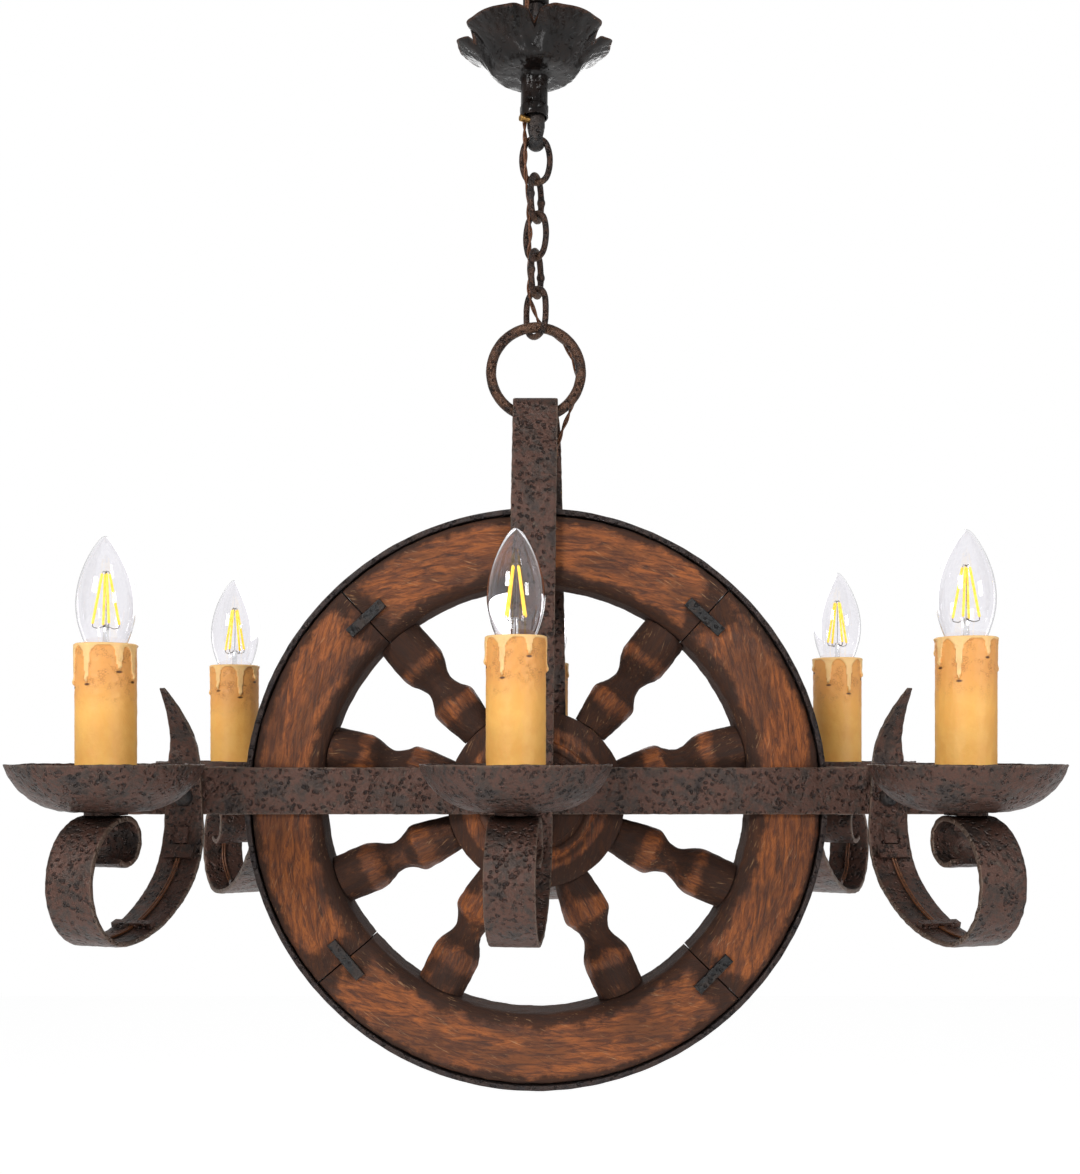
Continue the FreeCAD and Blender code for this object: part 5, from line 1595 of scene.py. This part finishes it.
# ---- Candles ------------------------------------------------------------------------------
@dataclass
class Candles:
    """Wax sleeves with their runs, and the filament bulbs."""

    radius: float = 18.25
    bore: float = 16.25
    lip: float = 14.0
    holder_drop: float = 12.0
    glass_neck: float = 7.0
    glass_radius: float = 17.8
    belly: float = 23.4
    tip: float = 65.8
    front_run: float = 340.0
    rear_run: float = 375.0

    def runs(self, seed: int, facing: float) -> np.ndarray:
        """Runs of wax as (angle, length, half width) rows, spread round with some facing out.

        Args:
            seed: of the draws.
            facing: angle in degrees that the longest run faces.

        Returns:
            Seven rows.
        """
        dice = np.random.default_rng(seed)
        turn = np.radians(facing) + np.linspace(0, TAU, 7, endpoint=False) + dice.uniform(-0.2, 0.2, 7)
        length = dice.choice([12.0, 17.0, 21.0, 26.0], 7) + dice.uniform(-2, 2, 7)
        length[0] = 25 + dice.uniform(-2, 2)
        return np.stack([turn, length, dice.uniform(0.095, 0.13, 7)], 1)

    def sleeve(self, height: float, seed: int, facing: float) -> tuple:
        """A sleeve: a tube's outline turned, thickened where the wax ran.

        The wax is thick above a line that hangs in arcs between narrow runs; each run ends in a
        drop. The mark is 1 on the wax, and below nought in the shadow under a drop.

        Args:
            height: of the sleeve.
            seed: of its runs.
            facing: angle that one run faces.

        Returns:
            The grid, its pattern place and its mark.
        """
        down = np.concatenate([np.linspace(0, 34, 96), np.linspace(36, height - 0.1, 24)])
        outer = np.stack([np.full(len(down), self.radius), height - down], 1)
        outer[0, 0], outer[1, 0] = self.radius - 0.9, self.radius - 0.3
        back = np.array([
            [self.bore, 0], [self.bore, height * 0.5], [self.bore, height - 4.8], [self.lip, height - 2.6],
            [self.lip, height - 0.3], [self.lip + 1.2, height], [self.radius - 1.7, height]])
        line = np.concatenate([outer, back])
        grid = turned(line, 170)
        turn = np.arctan2(grid[..., 1], grid[..., 0])
        depth = height - grid[..., 2]
        outside = np.zeros(len(line))
        outside[:len(down)] = 1
        border, drop, shade = np.full_like(depth, 1.6), np.zeros_like(depth), np.zeros_like(depth)
        for angle, length, half in self.runs(seed, facing):
            off = np.abs((turn - angle + np.pi) % TAU - np.pi)
            hang = length * (0.66 * np.exp(-(off / half) ** 4) + 0.34 * np.exp(-(off / 0.26) ** 1.4))
            border = np.maximum(border, hang)
            drop += np.exp(-(off / (half * 1.15)) ** 2 - ((depth - length + 2.0) / 1.9) ** 2)
            shade += np.exp(-(off / half) ** 2 - ((depth - length - 1.3) / 0.8) ** 2)
        wax = np.clip((border - depth) / 1.1 + 0.5, 0, 1)
        wax = wax * wax * (3 - 2 * wax) * outside[:, None]
        proud = 0.75 * wax + 0.85 * drop * outside[:, None] * np.clip(wax + 0.2, 0, 1)
        proud += outside[:, None] * 0.12 * ripple(grid, size=8, seed=seed)
        flat = np.hypot(grid[..., 0], grid[..., 1])
        grid[..., 0] *= 1 + proud / flat
        grid[..., 1] *= 1 + proud / flat
        mark = np.clip(wax, 0, 1) - outside[:, None] * np.clip(shade, 0, 1) * (wax < 0.5)
        place = grid.copy()
        place[..., 2] = depth
        place[..., :2] += 200 * seed
        return grid, place, mark

    def build_sleeves(self, finish: Material) -> None:
        """The six sleeves on their pans.

        Args:
            finish: the piece's material.
        """
        for i, arm in enumerate(ARMS):
            facing = (self.front_run if arm.side is Side.FRONT else self.rear_run) - arm.heading
            grid, place, mark = self.sleeve(arm.sleeve, i + 1, facing)
            grid = about_z(grid, arm.heading - 90) + arm.candle() + np.array([0, 0, PAN_SHEET])
            Piece(f"waxed_sleeve_{i + 1}", finish, "wax_sleeve", (f"candle_sleeve_{i + 1}",)).add(
                grid, loop=True, grain=place, mark=mark).make()

    def glass_line(self, wall: float) -> np.ndarray:
        """Radius and height up the glass: a quarter sine to the belly, then a flame's taper.

        Args:
            wall: how far inside the outer face the line lies.

        Returns:
            Points (radius, height), (n, 2).
        """
        low = -self.holder_drop + 0.3
        climb = np.linspace(0, 1, 22)[:-1]
        swell = (self.glass_radius - self.glass_neck) * np.sin(np.pi / 2 * climb)
        lower = np.stack([self.glass_neck + swell, low + (self.belly - low) * climb], 1)
        rise = np.sin(np.linspace(0, np.pi / 2, 34))
        radius = self.glass_radius * np.sqrt(1 - rise ** 2) * (1 - 0.38 * rise ** 2)
        upper = np.stack([radius, self.belly + (self.tip - self.belly) * rise], 1)
        line = np.concatenate([lower, upper])
        line[:, 0] = np.maximum(line[:, 0] - wall, 0.02)
        line[:, 1] -= wall * np.clip((line[:, 1] - self.belly) / 40, 0, 1)
        return line

    def top_of(self, arm: Arm) -> np.ndarray:
        """The middle of a sleeve's top."""
        return arm.candle() + np.array([0, 0, PAN_SHEET + arm.sleeve])

    def build_bulbs(self, glass: Material, stem: Material, steel: Material,
                    painted_glow: Material) -> None:
        """Glass shells, and inside each the stem, its wires and four sticks that lean together.

        Args:
            glass: the shells' material.
            stem: the stems' material.
            steel: the wires' material.
            painted_glow: the sticks' material, which gives off painted light though the bulbs are no lamps.
        """
        shells = Piece("clear_bulbs", glass, "clear_glass", ("bulb_glasses",))
        inside = Piece("bulb_insides", painted_glow, "filament", ("bulb_filaments",))
        for arm in ARMS:
            top = self.top_of(arm)
            line = np.concatenate([self.glass_line(0)[::-1], self.glass_line(0.7)])
            shells.add(turned(line, 72) + top)
            pole = np.array([
                [0.05, -11.6], [4.6, -11.6], [4.2, -8], [2.3, -3], [1.9, 3], [1.7, 9.2], [2.2, 10.6],
                [1.6, 12], [0.05, 12.2]])
            inside.add(turned(softened(resampled(pole, 0.8), 2), 24) + top, finish=stem)
            wire = np.array([[0, 0, 12], [0.3, 0, 30], [-0.2, 0, 43.5]]) + top
            mast = resampled(wire, 1.5)
            inside.add(round_wire(mast, self.sideways(len(mast)), 0.22, 8), finish=steel)
            for k in range(4):
                angle = np.radians(45 + 90 * k + arm.heading - 90)
                out = np.array([np.cos(angle), np.sin(angle), 0])
                foot, head = out * 8.0 + [0, 0, 12.0], out * 2.2 + [0, 0, 43.0]
                inside.add(self.rod(foot, head, 0.8, top), finish=painted_glow)
                elbow = np.array([
                    out * 1.2 + [0, 0, 11.0], out * 4.6 + [0, 0, 9.4], out * 8.1 + [0, 0, 10.2], foot])
                bent = softened(resampled(elbow, 0.6), 4) + top
                inside.add(round_wire(bent, self.sideways(len(bent)), 0.28, 8), finish=steel)
                tie = np.stack([head, head + [0, 0, 1.6] - out * 0.8, [0, 0, 43.4]]) + top
                bent = resampled(tie, 0.5)
                inside.add(round_wire(bent, self.sideways(len(bent)), 0.22, 8), finish=steel)
        shells.make()
        inside.make()

    def sideways(self, count: int) -> np.ndarray:
        """A fixed direction for thin wires' sections."""
        return np.repeat([[0.6, 0.8, 0.0]], count, 0)

    def rod(self, start: np.ndarray, end: np.ndarray, radius: float, origin: np.ndarray) -> np.ndarray:
        """A straight stick with rounded ends.

        Args:
            start: its foot, from the origin.
            end: its head, from the origin.
            radius: of the stick.
            origin: the point that both are given from.

        Returns:
            A grid (n, 12, 3).
        """
        share = np.concatenate([[0, 0.01, 0.025], np.linspace(0.06, 0.94, 8), [0.975, 0.99, 1]])[:, None]
        spots = start + (end - start) * share + origin
        along = (end - start) / np.linalg.norm(end - start)
        way = np.cross(along, [0.3, 0.9, 0.1])
        way /= np.linalg.norm(way)
        return round_wire(spots, np.repeat(way[None], len(spots), 0), closed_ends(spots, radius), 12)


# ---- Wiring -------------------------------------------------------------------------------
@dataclass
class Wiring:
    """The flex down the chain and the leads along the arms, each of two cores."""

    route: tuple = (
        (-6.0, -11.4, 0.0), (-6.0, -11.4, -16.0), (-7.6, -3.0, -34.0), (-7.85, 0.1, -52.0),
        (-7.9, 0.2, -72.0), (-7.85, 0.3, -91.0), (-7.6, -4.3, -104.5), (-7.3, -4.5, -116.0),
        (-7.2, -4.5, -131.0), (-5.0, -3.0, -143.0), (-5.3, -1.0, -156.0), (-3.4, -1.3, -168.5),
        (-5.2, -1.2, -181.5), (-4.4, -1.6, -195.0), (-5.2, -1.0, -209.0), (-1.5, 2.4, -219.5),
        (3.5, 6.4, -230.0), (20.0, 6.8, -239.5), (30.5, 6.8, -264.0), (24.5, 6.8, -287.0),
        (17.6, 5.6, -303.0), (12.5, 5.0, -322.0), (11.5, 13.8, -341.5), (11.0, 24.5, -357.0),
        (10.5, 24.0, -378.0), (9.5, 24.0, -412.0), (8.0, 24.0, -452.0), (7.0, 24.0, -492.0),
        (7.5, 24.0, -535.6))
    splits: tuple = (7, 9, 11, 13, 15, 18)
    bodies: tuple = ("ceiling", "link_1", "link_2", "link_3", "link_4", "link_5", "ring", "wheel_frame")
    core: float = 0.8
    lay: float = 26.0
    lead_apart: float = 0.85
    lead_from: float = 10.0
    lead_to: float = 249.0

    def middle_line(self) -> np.ndarray:
        """The flex's line in millimetres, read from a spline that has the route as its control points.

        Returns:
            Points from the ceiling down, (n, 3).
        """
        curve = bpy.data.curves.new("flex_route", "CURVE")
        curve.dimensions = "3D"
        curve.resolution_u = 16
        spline = curve.splines.new("NURBS")
        spline.points.add(len(self.route) - 1)
        for point, (x, y, z) in zip(spline.points, self.route):
            point.co = (x / 1000, y / 1000, z / 1000, 1)
        spline.order_u = 3
        spline.use_endpoint_u = True
        holder = bpy.data.objects.new("flex_route", curve)
        mesh = bpy.data.meshes.new_from_object(holder)
        line = np.array([v.co for v in mesh.vertices]) * 1000
        bpy.data.objects.remove(holder)
        bpy.data.curves.remove(curve)
        bpy.data.meshes.remove(mesh)
        return line

    def cores(self, line: np.ndarray, run: np.ndarray) -> list:
        """Two cores that wind round the line, a turn in each lay length, as grids.

        Args:
            line: the flex's middle, (n, 3).
            run: the length along it at each point, (n).

        Returns:
            Two grids.
        """
        along = np.gradient(line, axis=0)
        along /= np.linalg.norm(along, axis=1, keepdims=True)
        side = np.cross(along, [0.0, 1.0, 0.0])
        side /= np.linalg.norm(side, axis=1, keepdims=True)
        other = np.cross(along, side)
        grids = []
        for phase in (0, np.pi):
            turn = (run / self.lay * TAU + phase)[:, None]
            spots = line + self.core * (side * np.cos(turn) + other * np.sin(turn))
            grid = round_wire(spots, side, self.core - 0.02, 10)
            grid[..., 2] = np.minimum(grid[..., 2], 0)
            grids.append(grid)
        return grids

    def build_flex(self, finish: Material) -> None:
        """Seven stretches, each across one joint of the chain and put on no body.

        Args:
            finish: the piece's material.
        """
        line = self.middle_line()
        run = np.concatenate([[0], np.cumsum(np.linalg.norm(np.diff(line, axis=0), axis=1))])
        route = np.array(self.route)
        cuts = [0]
        for split in self.splits:
            middle = (route[split] + route[split + 1]) / 2
            cuts.append(int(np.argmin(np.linalg.norm(line - middle, axis=1))))
        cuts.append(len(line) - 1)
        last = len(self.splits)
        for i in range(last + 1):
            part = slice(cuts[i], cuts[i + 1] + 1)
            name, node = f"twisted_flex_{i + 1}", f"flex_{i + 1}"
            piece = Piece(name, finish, "copper_flex", (node,), self.bodies[i])
            for grid in self.cores(line[part], run[part]):
                piece.add(grid)
            start, end = line[cuts[i]] / 1000, line[cuts[i + 1]] / 1000
            if i == 0:
                start = line[cuts[1] // 2 + cuts[1] // 4] / 1000
            if i == last:
                end = line[cuts[i] + (cuts[i + 1] - cuts[i]) // 4] / 1000
            piece.make((self.bodies[i], self.bodies[i + 1], tuple(start), tuple(end)))

    def build_leads(self, iron: Ironwork, finish: Material) -> None:
        """A pair of cores side by side on the inner side of each arm.

        Args:
            iron: gives the arms' lines.
            finish: the piece's material.
        """
        piece = Piece("twin_leads", finish, "copper_flex", ("arm_leads",))
        for arm in ARMS:
            inside = STRAP_HALF + LEAD_GAP + self.core
            spots, across, angles = iron.path(arm, self.lead_from, self.lead_to, inside)
            sway = 0.5 * np.sin(np.radians(angles) * 5 + arm.place)
            sway *= 1 - np.abs(np.sin(np.radians(angles * 1.1)))
            for side in (-self.lead_apart, self.lead_apart):
                line = spots + across * (side + sway)[:, None]
                grid = round_wire(line, across, closed_ends(line, self.core), 10)
                piece.add(arm.to_world(grid))
        piece.make()


# ---- Studio -------------------------------------------------------------------------------
@dataclass
class Studio:
    """Camera, lamps, floor and backdrop."""

    distance: float = 0.969
    eye_height: float = -0.5244
    lens: float = 46.67
    shift: tuple = (4 / 1080, 163 / 1080)
    floor_height: float = -1.75
    aim: tuple = (0.0, 0.0, -0.45)
    lamps: tuple = (
        ("key", (-1.3, -1.9, 0.6), 0.7, 38),
        ("fill", (1.6, -1.7, 0.1), 0.6, 17),
        ("rim", (0.0, 2.2, 0.3), 1.2, 10),
        ("low", (-0.7, -1.5, -1.35), 0.35, 4))

    def build(self) -> None:
        """Set everything up round the object."""
        camera = bpy.data.cameras.new("camera")
        camera.lens = self.lens
        camera.sensor_width = 36.0
        camera.sensor_fit = "HORIZONTAL"
        camera.shift_x, camera.shift_y = self.shift
        holder = bpy.data.objects.new("camera", camera)
        holder.location = (0.0, -self.distance, self.eye_height)
        holder.rotation_euler = (np.pi / 2, 0.0, 0.0)
        bpy.context.scene.collection.objects.link(holder)
        bpy.context.scene.camera = holder
        for name, spot, size, power in self.lamps:
            self.lamp(name, spot, size, power)
        self.surround()
        self.ground()

    def lamp(self, name: str, spot: tuple, size: float, power: float) -> None:
        """A soft square lamp that faces the wheel.

        Args:
            name: of the lamp.
            spot: its place in metres.
            size: of its side in metres.
            power: in watts.
        """
        light = bpy.data.lights.new(name, "AREA")
        light.size, light.energy = size, power
        holder = bpy.data.objects.new(name, light)
        holder.location = spot
        aim = np.array(self.aim) - np.array(spot)
        tilt = np.arctan2(np.hypot(aim[0], aim[1]), -aim[2])
        holder.rotation_euler = (tilt, 0, np.arctan2(-aim[0], aim[1]))
        bpy.context.scene.collection.objects.link(holder)

    def seen(self, board: Board) -> Socket:
        """One on rays from the camera, and on mirrored and transmitted ones.

        Args:
            board: of the material.

        Returns:
            The number, 0 or 1.
        """
        path = board.tree.nodes.new("ShaderNodeLightPath")
        first = board.calc("MAXIMUM", path.outputs["Is Camera Ray"], path.outputs["Is Glossy Ray"])
        return board.calc("MAXIMUM", first, path.outputs["Is Transmission Ray"])

    def surround(self) -> None:
        """White where it is seen, and a soft even light elsewhere."""
        world = bpy.data.worlds.new("studio")
        bpy.context.scene.world = world
        world.use_nodes = True
        tree = world.node_tree
        board = Board(tree)
        path = tree.nodes.new("ShaderNodeLightPath")
        white = board.calc("MAXIMUM", path.outputs["Is Camera Ray"], path.outputs["Is Transmission Ray"])
        way = tree.nodes.new("ShaderNodeTexCoord").outputs["Generated"]
        split = board.node("ShaderNodeSeparateXYZ", {"Vector": way})
        above = board.sharpen(split.outputs["Z"], -0.5, 0.6)
        soft = board.calc("ADD", board.calc("MULTIPLY", above, 0.3), 0.24)
        strength = board.calc("MAXIMUM", white, soft)
        back = tree.nodes["Background"]
        back.inputs["Color"].default_value = (1, 1, 1, 1)
        tree.links.new(strength, back.inputs["Strength"])

    def ground(self) -> None:
        """A pale floor well below the wheel, which the camera sees as near white."""
        material = bpy.data.materials.new("pale_floor")
        material.use_nodes = True
        tree = material.node_tree
        shader = tree.nodes["Principled BSDF"]
        shader.inputs["Base Color"].default_value = (0.8, 0.8, 0.8, 1)
        shader.inputs["Roughness"].default_value = 0.9
        board = Board(tree)
        shader.inputs["Emission Color"].default_value = (1, 1, 1, 1)
        tree.links.new(board.calc("MULTIPLY", self.seen(board), 0.55), shader.inputs["Emission Strength"])
        mesh = bpy.data.meshes.new("pale_floor")
        reach = np.array([[-6, -6], [6, -6], [6, 6], [-6, 6]], float)
        corners = np.column_stack([reach, np.full(4, self.floor_height)])
        mesh.from_pydata(corners.tolist(), [], [(0, 1, 2, 3)])
        mesh.materials.append(material)
        floor = bpy.data.objects.new("pale_floor", mesh)
        bpy.context.scene.collection.objects.link(floor)


def dress(nodes: dict, names: tuple, material: Material) -> None:
    """Give the CAD nodes that keep their own solids a finish.

    Args:
        nodes: the model's nodes by name.
        names: the nodes that get the finish.
        material: the finish.
    """
    for name in names:
        for slot in nodes[name].material_slots:
            slot.material = material
        log.info("%s keeps its solid", name)


def main() -> None:
    """Load the model, build the pieces in order and light them."""
    logging.basicConfig(level=logging.INFO)
    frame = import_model()
    nodes = frame["nodes"]
    scene = bpy.context.scene
    scene.view_settings.view_transform = "Standard"
    Studio().build()
    groups = {"forge": forge_skin(), "ragged": ragged_edge(), "grain": wood_grain()}
    iron = Iron("forged_iron_patina").build(groups)
    tyre = Iron("tyre_iron", body="262021", rust="332622", rubbed="4d3f37").build(groups)
    links = Iron("link_steel", body="2f2622", rust="4a3226", rubbed="7a5c47", metal=0.6, rough=0.4,
                 size=1.4).build(groups)
    ring = Iron("ring_steel", body="3a2a22", rust="5b3e2d", rubbed="84674f", metal=0.6, rough=0.38,
                size=1.2).build(groups)
    dark = Iron("cramp_iron", deep="17171a", body="292828", rust="352b26", rubbed="4f4b46").build(groups)
    wood = Wood("charred_brown_wood").build(groups)
    gloss = Gloss("canopy_black").build(groups)
    wax = Wax("honey_wax").build(groups)
    glass = Plain("clear_bulb_glass", tone="faf9fb", other="f6f5f8", rough=0.0, clear=1.0).build(groups)
    stem = Plain("stem_glass", tone="eef0f0", other="e2e4e4", rough=0.02, clear=1.0).build(groups)
    steel = Plain("lead_wire", tone="8b8782", other="6b6762", metal=0.8, rough=0.35).build(groups)
    painted_glow = Plain("filament_phosphor_painted_light", tone="f2c21f", other="ffd957", rough=0.5, painted_glow=0.8).build(groups)
    copper = Plain("copper_cores", tone="6b4024", other="422818", rough=0.42, metal=0.35).build(groups)
    brass = Plain("brass_thread", tone="a98348", other="8a6636", rough=0.35, metal=0.9).build(groups)
    plastic = Plain("holder_plastic", tone="161616", other="242424", rough=0.4).build(groups)
    Canopy().build(gloss)
    Chain().build(links, ring)
    wheel = Wheel()
    wheel.build_felloes(wood)
    wheel.build_spokes(wood)
    wheel.build_hub(wood)
    wheel.build_tyre(tyre)
    work = Ironwork()
    work.build_strap(iron)
    work.build_arms(iron)
    work.build_bars(iron)
    work.build_fasteners(iron, dark)
    work.build_pans(iron)
    candles = Candles()
    candles.build_sleeves(wax)
    candles.build_bulbs(glass, stem, steel, painted_glow)
    wiring = Wiring()
    wiring.build_flex(copper)
    wiring.build_leads(work, copper)
    dress(nodes, ("hanging_rod", "felloe_cramps"), dark)
    dress(nodes, ("lamp_fixings", "wire_clips"), iron)
    dress(nodes, ("canopy_screw", "bulb_caps"), brass)
    dress(nodes, ("lampholders",), plastic)


if __name__ == "__main__":
    main()
